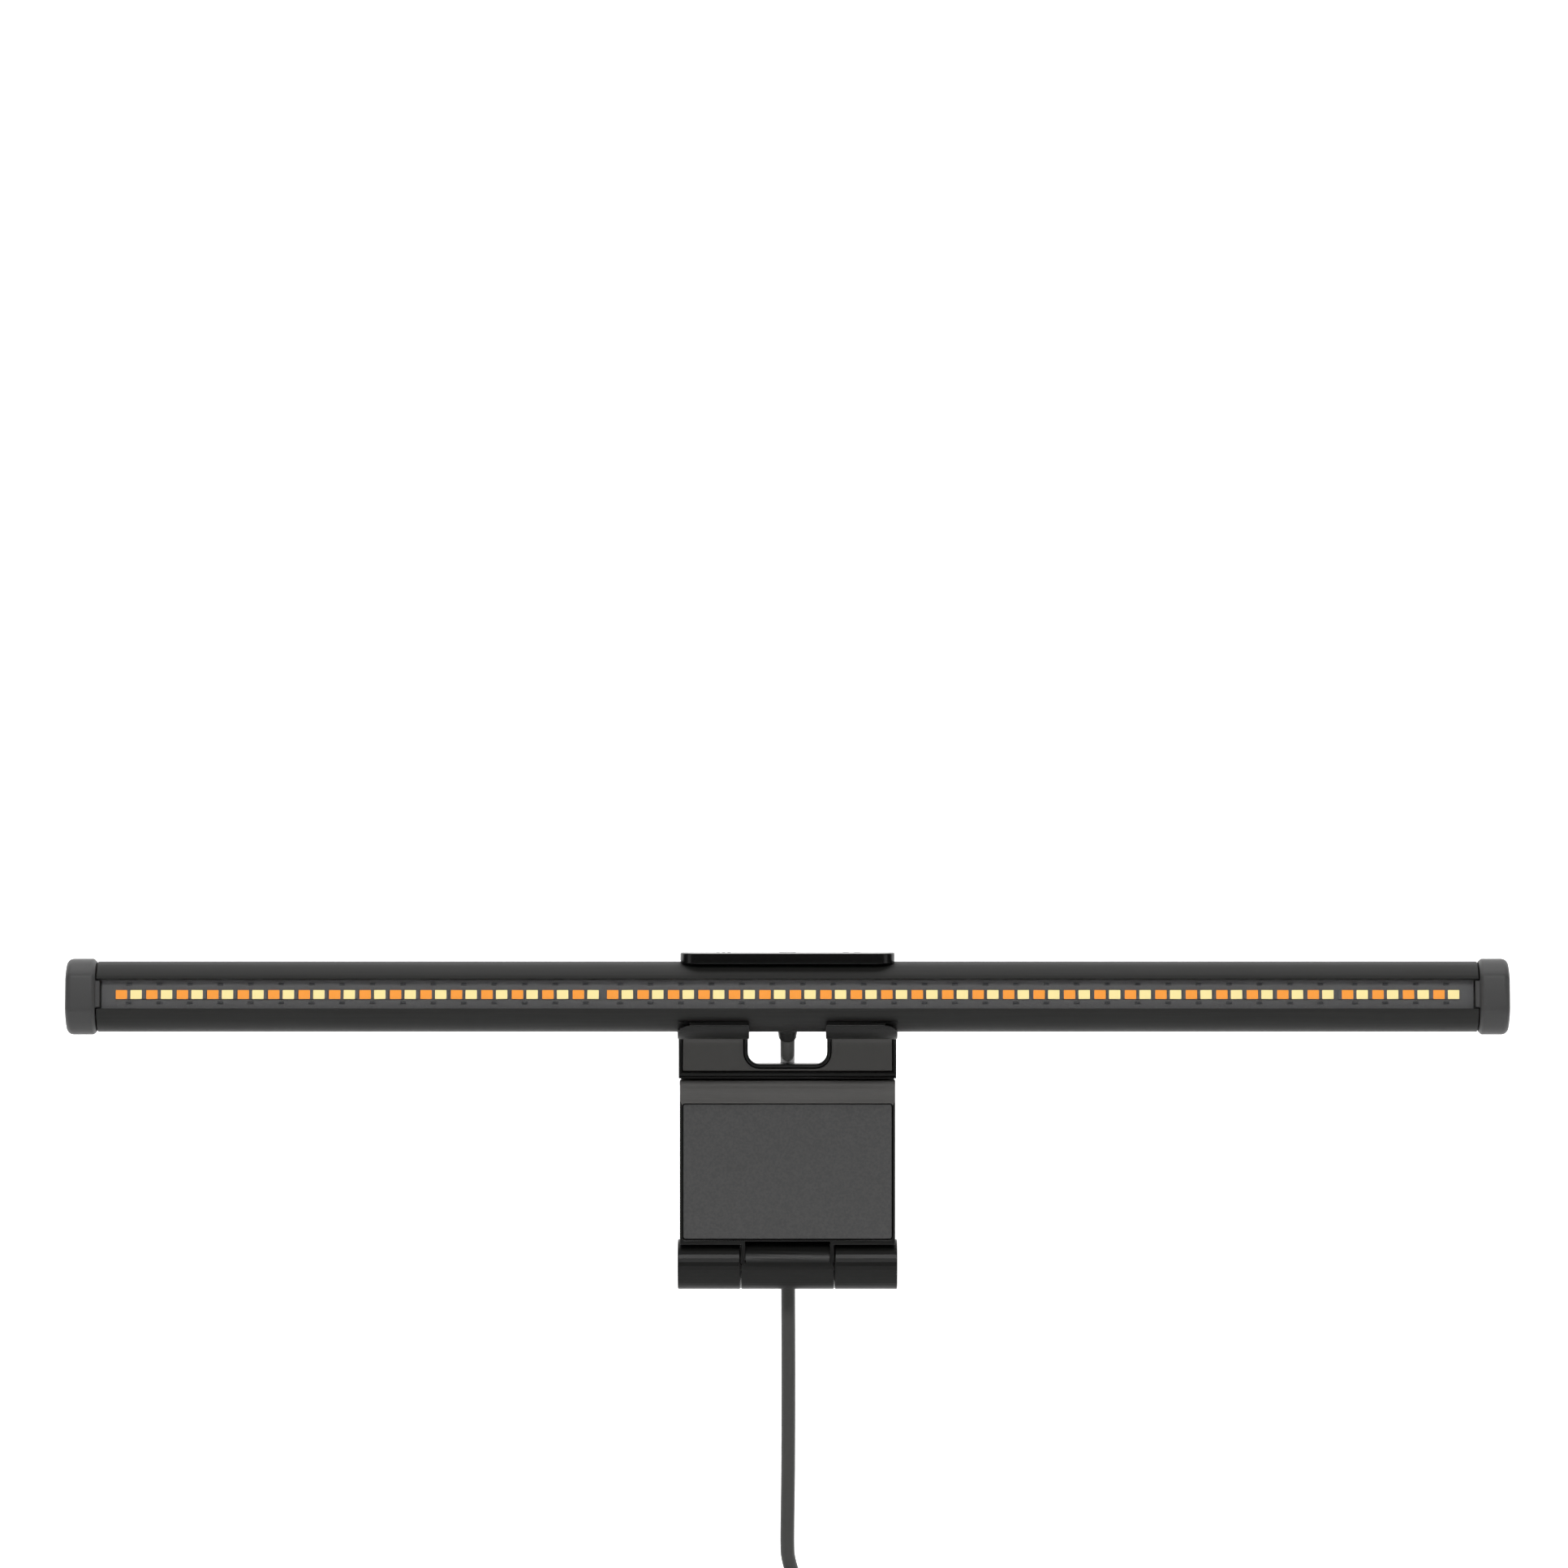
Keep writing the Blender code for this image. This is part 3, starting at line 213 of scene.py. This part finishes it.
def aimAt(obj, target):
    obj.rotation_euler = (Vector(target) - obj.location).to_track_quat("-Z", "Y").to_euler()


def addSoftLight(name, place, target, size, power):
    light = bpy.data.lights.new(name, "AREA")
    light.shape = "RECTANGLE"
    light.size, light.size_y = size
    light.energy = power
    obj = bpy.data.objects.new(name, light)
    bpy.context.collection.objects.link(obj)
    obj.location = place
    aimAt(obj, target)


def makeStage():
    scene = bpy.context.scene
    sizes = stageSizes
    camera = bpy.data.cameras.new("camera")
    camera.sensor_width = sizes["sensor"]
    camera.lens = sizes["focal"]
    cameraObject = bpy.data.objects.new("camera", camera)
    bpy.context.collection.objects.link(cameraObject)
    cameraObject.location = (sizes["cameraSide"], tiltAxis.y - sizes["distance"],
                             tiltAxis.z + sizes["cameraUp"])
    cameraObject.rotation_euler = (radians(90), 0, 0)
    camera.shift_y = sizes["shift"]
    scene.camera = cameraObject
    scene.view_settings.view_transform = "Standard"

    # one sweep of floor and wall with a round corner
    radius, reach, floor, back = sizes["bend"], sizes["reach"], sizes["floor"], sizes["wallBack"]
    steps = sizes["bendSteps"]
    outline = [(-reach, floor)]
    outline += [(back - radius + radius * sin(a), floor + radius - radius * cos(a))
                for a in (i * pi / 2 / steps for i in range(steps + 1))]
    outline.append((back, reach))
    bm = bmesh.new()
    rows = [[bm.verts.new((x, y, z)) for y, z in outline] for x in (-reach, reach)]
    for i in range(len(outline) - 1):
        bm.faces.new([rows[1][i], rows[1][i + 1], rows[0][i + 1], rows[0][i]])
    mesh = bpy.data.meshes.new("sweep")
    bm.to_mesh(mesh)
    bm.free()
    mesh.shade_smooth()
    sweep = bpy.data.objects.new("sweep", mesh)
    bpy.context.collection.objects.link(sweep)
    # white paper, lit from behind past the object, so that its front stays in a softer light
    paper, tree, shader = newMaterial("studioPaper", "f0f0f0", 0.9, Emission_Color=(1, 1, 1, 1))
    place = addNode(tree, "ShaderNodeTexCoord")
    parts = addNode(tree, "ShaderNodeSeparateXYZ", None, {0: place.outputs["Object"]})
    reachOfGlow = {"From Min": sizes["glowFrom"], "From Max": sizes["glowTo"], "To Min": 0.0, "To Max": 0.95}
    glow = addNode(tree, "ShaderNodeMapRange", reachOfGlow, {"Value": parts.outputs["Y"]})
    tree.links.new(glow.outputs["Result"], shader.inputs["Emission Strength"])
    mesh.materials.append(paper)

    world = bpy.data.worlds.new("studioAir")
    world.use_nodes = True
    world.node_tree.nodes["Background"].inputs["Color"].default_value = (1, 1, 1, 1)
    world.node_tree.nodes["Background"].inputs["Strength"].default_value = 0.07
    scene.world = world
    for name, (place, size, power) in softBoxes.items():
        addSoftLight(name, place, (0.0, tiltAxis.y, sizes["aim"]), size, power)


makeStage()
print("stage")


# the lead: repeats the route of the CAD, then fills its coil

cordSizes = {"diameter": 0.0045, "coilRadius": 0.02475, "cell": 0.0046, "coilY": 0.0280,
             "coilZ": -0.21525, "coilFrom": 50, "turns": 8, "stepsPerTurn": 48, "crossing": 30,
             "firstCrossing": 180, "leaves": 70}


def smoothRoute(points, steps):
    # a smooth curve through chosen points, as short Bezier spans
    places = [Vector(point) for point in points]
    slopes = [(b - a) / 2 for a, b in zip(places[:1] + places, places[1:] + places[-1:])][:len(places)]
    route = [places[0]]
    for a, b, slopeA, slopeB in zip(places, places[1:], slopes, slopes[1:]):
        scale = min(1.0, (b - a).length / max(slopeA.length, slopeB.length))
        route += interpolate_bezier(a, a + slopeA * scale / 3, b - slopeB * scale / 3, b, steps + 1)[1:]
    return route


def sweepTube(name, path, radius, sides=16):
    # a closed tube along a path, with its rings kept from twisting
    tangents = [((b - a).normalized()) for a, b in zip(path[:1] + path[:-1], path[1:] + path[-1:])]
    bm = bmesh.new()
    side = Vector((1, 0, 0))
    rings = []
    for place, tangent in zip(path, tangents):
        side = (side - tangent * side.dot(tangent)).normalized()
        other = tangent.cross(side)
        turns = (2 * pi * i / sides for i in range(sides))
        rings.append([bm.verts.new(place + (side * cos(a) + other * sin(a)) * radius) for a in turns])
    for lower, upper in zip(rings, rings[1:]):
        for i in range(sides):
            j = (i + 1) % sides
            bm.faces.new([lower[i], lower[j], upper[j], upper[i]])
    bm.faces.new(rings[0])
    bm.faces.new(rings[-1])
    bmesh.ops.recalc_face_normals(bm, faces=bm.faces)
    return finishMesh(bm, name, 50)


def finishMesh(bm, name, sharpAngle=35):
    mesh = bpy.data.meshes.new(name)
    bm.to_mesh(mesh)
    bm.free()
    mesh.shade_smooth()
    mesh.set_sharp_from_angle(angle=radians(sharpAngle))
    obj = bpy.data.objects.new(name, mesh)
    bpy.context.collection.objects.link(obj)
    return obj


cordRoute = [(0.0, -0.00375, -0.00496), (0.0, -0.00177, -0.00694), (0.0, 0.0008, -0.00885),
             (0.0, 0.0044, -0.01055), (0.0, 0.0083, -0.01105), (0.0, 0.0135, -0.01115),
             (0.0, 0.0190, -0.01145), (0.0, 0.02495, -0.01465), (0.0, 0.02835, -0.0200),
             (0.0, 0.02935, -0.0270), (0.0, 0.0294, -0.0400), (0.0001, 0.0289, -0.0600),
             (0.0002, 0.0286, -0.0850), (0.0003, 0.0282, -0.1150), (0.0002, 0.0280, -0.1450),
             (0.0, 0.0280, -0.1700)]


# cells of the coil's 3 x 3 section as (outwards, backwards), turn by turn, and when each turn leaves its cell
coilCells = [(1, 1), (0, 1), (-1, 1), (-1, 0), (0, 0), (1, 0), (1, -1), (0, -1), (-1, -1)]
coilPhases = [4, 4, 3, 2, 2, 1, 0, 0]


def coilPoint(turned):
    # place on the wound lead after so many degrees; crossings follow each other so that no two turns touch
    sizes = cordSizes
    outwards, backwards = coilCells[0]
    for turn, phase in enumerate(coilPhases):
        begin = 360 * turn + sizes["firstCrossing"] + sizes["crossing"] * phase
        share = min(1.0, max(0.0, (turned - begin) / sizes["crossing"]))
        share = share * share * (3 - 2 * share)
        outwards += share * (coilCells[turn + 1][0] - coilCells[turn][0])
        backwards += share * (coilCells[turn + 1][1] - coilCells[turn][1])
    radius = sizes["coilRadius"] + outwards * sizes["cell"]
    angle = radians(sizes["coilFrom"] - turned)
    return Vector((radius * cos(angle), sizes["coilY"] + backwards * sizes["cell"],
                   sizes["coilZ"] + radius * sin(angle)))


leadIn = [(0.0014, 0.0302, -0.1765), (0.0045, 0.0320, -0.1806), (0.0090, 0.0326, -0.1849)]
tailRoute = [(0.0035, 0.01845, -0.1952), (0.0110, 0.01845, -0.1960), (0.0205, 0.01845, -0.2005),
             (0.0272, 0.01845, -0.2068), (0.0295, 0.01845, -0.2140), (0.0295, 0.01845, -0.2213),
             (0.0289, 0.0198, -0.2353), (0.0283, 0.0230, -0.2493), (0.0281, 0.0234, -0.2555),
             (0.0281, 0.0234, -0.2600)]


def makeCord():
    sizes = cordSizes
    last = 360 * sizes["turns"] - sizes["leaves"]
    count = int(last / 360 * sizes["stepsPerTurn"])
    coil = [coilPoint(last * i / count) for i in range(count + 1)]
    path = smoothRoute(cordRoute + leadIn + [coil[0]], 6)
    path += coil[1:]
    path += smoothRoute([coil[-1]] + tailRoute, 6)[1:]
    long = sum((b - a).length for a, b in zip(path, path[1:]))
    print("cord length", round(long, 4))
    cord = sweepTube("lead", path, sizes["diameter"] / 2)
    cord.data.materials.append(materials["cable"])
    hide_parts("cord_run", "cord_coil", "cord_tail")
    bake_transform(cord)
    return cord, path, long


cord, cordPath, cordLong = makeCord()
print("lead")


# pieces that follow the CAD: merged, flattened, with softened edges

edgeSizes = {"sharp": 38, "segments": 2, "merge": 0.000002, "flat": 0.7, "stray": 0.8}

# these keep their triangles, because flattening spoils the faces around their cut-outs
unflattened = ("clamp_plate", "rear_arm", "hook")


def softened(obj, width):
    # evaluates an edge bevel and keeps only its result
    if width > 0:
        bevel = obj.modifiers.new("edges", "BEVEL")
        bevel.width = width
        bevel.segments = edgeSizes["segments"]
        bevel.limit_method = "ANGLE"
        bevel.angle_limit = radians(edgeSizes["sharp"])
        bevel.use_clamp_overlap = False
        flat = obj.modifiers.new("flatFaces", "WEIGHTED_NORMAL")
        flat.keep_sharp = True
    return settled(obj)


def settled(obj):
    bpy.context.view_layer.update()
    evaluated = obj.evaluated_get(bpy.context.evaluated_depsgraph_get())
    mesh = bpy.data.meshes.new_from_object(evaluated)
    mesh.name = obj.name
    for modifier in list(obj.modifiers):
        obj.modifiers.remove(modifier)
    old = obj.data
    obj.data = mesh
    bpy.data.meshes.remove(old)
    return obj


def fromCad(node, name, width):
    bm = bmesh.new()
    bm.from_mesh(frame["nodes"][node].data)
    bmesh.ops.remove_doubles(bm, verts=bm.verts, dist=edgeSizes["merge"])
    if node not in unflattened:
        bmesh.ops.dissolve_limit(bm, angle_limit=radians(edgeSizes["flat"]), verts=bm.verts, edges=bm.edges)
    bmesh.ops.recalc_face_normals(bm, faces=bm.faces)
    surface = BVHTree.FromBMesh(bm)
    obj = finishMesh(bm, name)
    softened(obj, width)
    # where a bevel overshoots in a tight corner, its point goes back onto the surface
    for vertex in obj.data.vertices:
        hit = surface.find_nearest(vertex.co)
        if hit[3] > edgeSizes["stray"] * width:
            vertex.co = hit[0]
    return obj


def place(obj, body, material, slot=None, nodes=()):
    obj.data.materials.clear()
    obj.data.materials.append(materials[material])
    if nodes:
        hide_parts(*nodes)
    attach(obj, body)
    return obj


# node: piece name, body, material, finish slot, edge radius in metres
cadPieces = {
    "tube_housing": ("tubeHousing", "bar", "tube", "tube", 0.00022),
    "led_board": ("ledBoard", "bar", "board", "board", 0.00008),
    "lens": ("windowLens", "bar", "lens", "lens", 0.00010),
    "end_cap_left": ("endCapLeft", "bar", "cap", "cap", 0.00030),
    "end_cap_right": ("endCapRight", "bar", "cap", "cap", 0.00030),
    "touch_cover": ("touchCover", "bar", "pad", "pad", 0.00035),
    "touch_board": ("touchBoard", "bar", "board", "board", 0.00008),
    "driver_board": ("driverBoard", "bar", "board", "board", 0.00008),
    "cable_gland": ("cableGland", "bar", "clip", "clip", 0.00025),
    "gland_nut": ("glandNut", "bar", "steel", "steel", 0.00015),
    "tilt_screw_left": ("tiltScrewLeft", "bar", "screw", "steel", 0.00010),
    "tilt_screw_right": ("tiltScrewRight", "bar", "screw", "steel", 0.00010),
    "tilt_nut_left": ("tiltNutLeft", "bar", "steel", "steel", 0.00010),
    "tilt_nut_right": ("tiltNutRight", "bar", "steel", "steel", 0.00010),
    "hook": ("clipHook", "clip", "clip", "clip", 0.00030),
    "throat_pad": ("throatPad", "clip", "throat", "rubber", 0.00020),
    "rear_arm": ("rearArm", "clip", "clip", "clip", 0.00030),
    "rear_cover": ("rearCover", "clip", "cap", "clip", 0.00025),
    "counterweight": ("ballastBlock", "clip", "steel", "steel", 0.00020),
    "cover_screw_lower_left": ("coverScrewLowerLeft", "clip", "screw", "steel", 0.00010),
    "cover_screw_lower_right": ("coverScrewLowerRight", "clip", "screw", "steel", 0.00010),
    "cover_screw_upper_left": ("coverScrewUpperLeft", "clip", "screw", "steel", 0.00010),
    "cover_screw_upper_right": ("coverScrewUpperRight", "clip", "screw", "steel", 0.00010),
    "arm_screw_left": ("armScrewLeft", "clip", "screw", "steel", 0.00010),
    "arm_screw_right": ("armScrewRight", "clip", "screw", "steel", 0.00010),
    "hinge_pin": ("hingePin", "clip", "steel", "steel", 0.00010),
    "hinge_end_left": ("hingeEndLeft", "clip", "clip", "clip", 0.00020),
    "hinge_end_right": ("hingeEndRight", "clip", "clip", "clip", 0.00020),
    "friction_washer_left": ("frictionWasherLeft", "clip", "steel", "steel", 0.00005),
    "friction_washer_right": ("frictionWasherRight", "clip", "steel", "steel", 0.00005),
    "cord_tie": ("leadTie", "clip", "tie", "cable", 0.00025),
    "usb_plug": ("plugBody", "clip", "cap", "cable", 0.00040),
    "usb_shell": ("plugShell", "clip", "steel", "steel", 0.00010),
    "clamp_plate": ("clampPlate", "plate", "clip", "clip", 0.00030),
    "clamp_facing": ("clampFacing", "plate", "rubber", "rubber", 0.00020),
}

made = {}
for node, (name, body, material, slot, width) in cadPieces.items():
    made[name] = place(fromCad(node, name, width), body, material, slot, (node,))
    print(name, len(made[name].data.polygons))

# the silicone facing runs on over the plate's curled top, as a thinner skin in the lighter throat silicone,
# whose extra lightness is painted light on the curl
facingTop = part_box("clamp_facing")[1].z
plateMesh = made["clampPlate"].data
plateMesh.materials.append(materials["throat"])
for face in plateMesh.polygons:
    if face.center.z > facingTop - 0.0001:
        face.material_index = 1

# thin nylon rings in the two splits of the hinge keep the light from showing through
shimSizes = {"middle": 0.01480, "half": 0.00008, "inner": 0.0056, "outer": 0.0077, "round": 0.00003,
             "steps": 72}


def makeShims():
    sizes = shimSizes
    half, inner, outer, edge = sizes["half"], sizes["inner"], sizes["outer"], sizes["round"]
    profile = [(-half, inner), (-half, outer - edge), (-half + edge, outer), (half - edge, outer),
               (half, outer - edge), (half, inner)]
    bm = bmesh.new()
    for middle in (-sizes["middle"], sizes["middle"]):
        rings = []
        for step in range(sizes["steps"]):
            a = 2 * pi * step / sizes["steps"]
            places = [(middle + x, hingeAxis.y + r * cos(a), hingeAxis.z + r * sin(a)) for x, r in profile]
            rings.append([bm.verts.new(place) for place in places])
        for first, second in zip(rings, rings[1:] + rings[:1]):
            for i in range(len(profile)):
                j = (i + 1) % len(profile)
                bm.faces.new([first[i], first[j], second[j], second[i]])
    bmesh.ops.recalc_face_normals(bm, faces=bm.faces)
    place(finishMesh(bm, "hingeShims"), "plate", "clip", "clip")


makeShims()
print("pieces from the CAD")


# LED chips and the marks between them, in the window's own frame: x along the bar, y up it, z outwards

windowTilt = radians(8)
windowFrame = Matrix.Translation(tiltAxis) @ Matrix.Rotation(radians(90) - windowTilt, 4, "X")
ledSizes = {"pairs": 44, "pairStep": 0.00949, "chipStep": 0.00456, "gap": 0.0012, "firstGap": 16,
            "secondGap": 40, "boardTop": 0.0067, "chip": (0.00362, 0.00286, 0.0007), "rim": 0.00006,
            "mark": (0.0018, 0.00080, 0.00045), "markUp": 0.0033, "markDown": -0.0025}


def raisedBlock(name, size, rim, drop, sink):
    # a moulded block with drafted sides, rounded corners and, with a rim, a recessed top
    long, wide, tall = size
    corner = min(long, wide) * 0.05
    levels = [(0.0, 0.0), (0.0, tall * 0.15), (drop, tall - drop), (drop * 2, tall)]
    if rim:
        levels += [(drop * 2 + rim, tall), (drop * 2 + rim * 1.2, tall - sink)]
    bm = bmesh.new()
    rings = []
    for inset, height in levels:
        ring = []
        for quarter in range(4):
            signX = 1 if quarter in (0, 3) else -1
            signY = 1 if quarter in (0, 1) else -1
            for step in range(4):
                a = pi / 2 * quarter + pi / 6 * step
                ring.append(bm.verts.new((signX * (long / 2 - inset - corner) + corner * cos(a),
                                          signY * (wide / 2 - inset - corner) + corner * sin(a), height)))
        rings.append(ring)
    for lower, upper in zip(rings, rings[1:]):
        for i in range(16):
            j = (i + 1) % 16
            bm.faces.new([lower[i], lower[j], upper[j], upper[i]])
    bm.faces.new(rings[0][::-1])
    bm.faces.new(rings[-1])
    return finishMesh(bm, name)


def makeRepeater():
    # lays a part out in three groups along x, each copy turned a little out of true
    tree = bpy.data.node_groups.new("layOut", "GeometryNodeTree")
    inputs = {}
    for name, kind in (("Part", "NodeSocketObject"), ("Count", "NodeSocketInt"),
                       ("Start", "NodeSocketVector"), ("Step", "NodeSocketVector"),
                       ("Gap", "NodeSocketVector"), ("First Gap", "NodeSocketInt"),
                       ("Second Gap", "NodeSocketInt"), ("Turn", "NodeSocketFloat"),
                       ("Seed", "NodeSocketInt"), ("Material", "NodeSocketMaterial")):
        inputs[name] = tree.interface.new_socket(name, in_out="INPUT", socket_type=kind).identifier
    tree.interface.new_socket("Geometry", in_out="OUTPUT", socket_type="NodeSocketGeometry")
    group = tree.nodes.new("NodeGroupInput").outputs
    line = addNode(tree, "GeometryNodeMeshLine", {"mode": "OFFSET"},
                   {"Count": group["Count"], "Start Location": group["Start"], "Offset": group["Step"]})
    index = addNode(tree, "GeometryNodeInputIndex").outputs["Index"]
    passed = [addNode(tree, "FunctionNodeCompare", {"data_type": "INT", "operation": "GREATER_EQUAL"},
                      {2: index, 3: group[key]}).outputs[0] for key in ("First Gap", "Second Gap")]
    gaps = addNode(tree, "ShaderNodeMath", {"operation": "ADD"}, {0: passed[0], 1: passed[1]})
    shift = addNode(tree, "ShaderNodeVectorMath", {"operation": "SCALE"},
                    {0: group["Gap"], "Scale": gaps.outputs[0]})
    moved = addNode(tree, "GeometryNodeSetPosition", None,
                    {"Geometry": line.outputs["Mesh"], "Offset": shift.outputs[0]})
    part = addNode(tree, "GeometryNodeObjectInfo", None, {"Object": group["Part"]})
    low = addNode(tree, "ShaderNodeMath", {"operation": "MULTIPLY", 1: -1.0}, {0: group["Turn"]})
    turn = addNode(tree, "FunctionNodeRandomValue", {"data_type": "FLOAT"},
                   {2: low.outputs[0], 3: group["Turn"], "Seed": group["Seed"]})
    spin = addNode(tree, "ShaderNodeCombineXYZ", None, {"Z": turn.outputs[1]})
    copies = addNode(tree, "GeometryNodeInstanceOnPoints", None,
                     {"Points": moved.outputs["Geometry"], "Instance": part.outputs["Geometry"],
                      "Rotation": spin.outputs[0]})
    real = addNode(tree, "GeometryNodeRealizeInstances", None, {"Geometry": copies.outputs["Instances"]})
    painted = addNode(tree, "GeometryNodeSetMaterial", None,
                      {"Geometry": real.outputs["Geometry"], "Material": group["Material"]})
    addNode(tree, "NodeGroupOutput", None, {"Geometry": painted.outputs["Geometry"]})
    return tree, inputs


repeater, repeaterInputs = makeRepeater()


def layOut(name, part, values, place):
    obj = bpy.data.objects.new(name, bpy.data.meshes.new(name))
    bpy.context.collection.objects.link(obj)
    modifier = obj.modifiers.new("layOut", "NODES")
    modifier.node_group = repeater
    for key, value in {"Part": part, **values}.items():
        modifier[repeaterInputs[key]] = value
    settled(obj)
    bpy.data.objects.remove(part)
    obj.data.transform(place)
    return obj


def makeLeds():
    sizes = ledSizes
    span = (sizes["pairs"] - 1) * sizes["pairStep"] + 2 * sizes["gap"] + sizes["chipStep"]
    long, wide, tall = sizes["chip"]
    rim = sizes["rim"]
    rows = {
        "warmPackages": ("package", (long, wide, tall), rim, 0.0, 0.0),
        "coolPackages": ("package", (long, wide, tall), rim, sizes["chipStep"], 0.0),
        # the phosphor tops take the phosphor materials, which glow faintly as painted light
        "warmPhosphor": ("warm", (long - rim, wide - rim, 0.00012), 0, 0.0, 0.0),
        "coolPhosphor": ("cool", (long - rim, wide - rim, 0.00012), 0, sizes["chipStep"], 0.0),
        "upperResistors": ("resistor", sizes["mark"], 0, sizes["chipStep"] / 2, sizes["markUp"]),
        "lowerResistors": ("resistor", sizes["mark"], 0, sizes["chipStep"] / 2, sizes["markDown"]),
    }
    for seed, (name, (material, size, edge, along, up)) in enumerate(rows.items()):
        height = sizes["boardTop"] + (tall - 0.0001 if "Phosphor" in name else 0.0)
        part = raisedBlock("part", size, edge, min(size) * 0.10, 0.0001)
        values = {"Count": sizes["pairs"], "Start": (along - span / 2, up, height),
                  "Step": (sizes["pairStep"], 0.0, 0.0), "Gap": (sizes["gap"], 0.0, 0.0),
                  "First Gap": sizes["firstGap"], "Second Gap": sizes["secondGap"],
                  "Turn": radians(0.6), "Seed": seed + 3, "Material": materials[material]}
        row = layOut(name, part, values, windowFrame)
        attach(row, "bar")
        print(name, len(row.data.polygons))


makeLeds()
print("chips")



# keys on the touch cover: a ring for power, three bars for brightness, two dots for colour
keySizes = {"thick": 0.00004, "line": 0.00045, "ring": 0.0026, "spread": 0.0200, "foot": 0.0021,
            "bars": (0.0018, 0.0030, 0.0042), "barStep": 0.0017, "dot": 0.0010, "dotStep": 0.0036}


def flatShape(bm, outline, hole, low, high):
    # a thin printed shape: an outline around a matching hole, or filled when the hole is missing
    levels = [[bm.verts.new((x, y, z)) for x, y in ring]
              for z in (low, high) for ring in (outline, hole or [])]
    outerLow, innerLow, outerHigh, innerHigh = levels
    count = len(outline)
    for i in range(count):
        j = (i + 1) % count
        bm.faces.new([outerLow[i], outerLow[j], outerHigh[j], outerHigh[i]])
        if hole:
            bm.faces.new([innerLow[j], innerLow[i], innerHigh[i], innerHigh[j]])
            bm.faces.new([outerHigh[i], outerHigh[j], innerHigh[j], innerHigh[i]])
            bm.faces.new([outerLow[j], outerLow[i], innerLow[i], innerLow[j]])
    if not hole:
        bm.faces.new(outerHigh)
        bm.faces.new(outerLow[::-1])


def circle(x, y, radius, count=40):
    turns = [2 * pi * i / count for i in range(count)]
    return [(x + radius * cos(a), y + radius * sin(a)) for a in turns]


def makeKeys():
    sizes = keySizes
    low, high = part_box("touch_cover")
    top = high.z - 0.00001
    middle = (low.y + high.y) / 2
    line, spread = sizes["line"], sizes["spread"]
    bm = bmesh.new()
    flatShape(bm, circle(0.0, middle, sizes["ring"]), circle(0.0, middle, sizes["ring"] - line), top,
              top + sizes["thick"])
    for index, tall in enumerate(sizes["bars"]):
        x = -spread + (index - 1) * sizes["barStep"]
        foot = middle - sizes["foot"]
        corners = [(x - line, foot), (x + line, foot), (x + line, foot + tall), (x - line, foot + tall)]
        flatShape(bm, corners, None, top, top + sizes["thick"])
    for side in (-1, 1):
        x = spread + side * sizes["dotStep"] / 2
        hole = circle(x, middle, sizes["dot"] - line * 0.7) if side > 0 else None
        flatShape(bm, circle(x, middle, sizes["dot"]), hole, top, top + sizes["thick"])
    place(finishMesh(bm, "touchKeys"), "bar", "ink", "pad")


makeKeys()
print("keys")
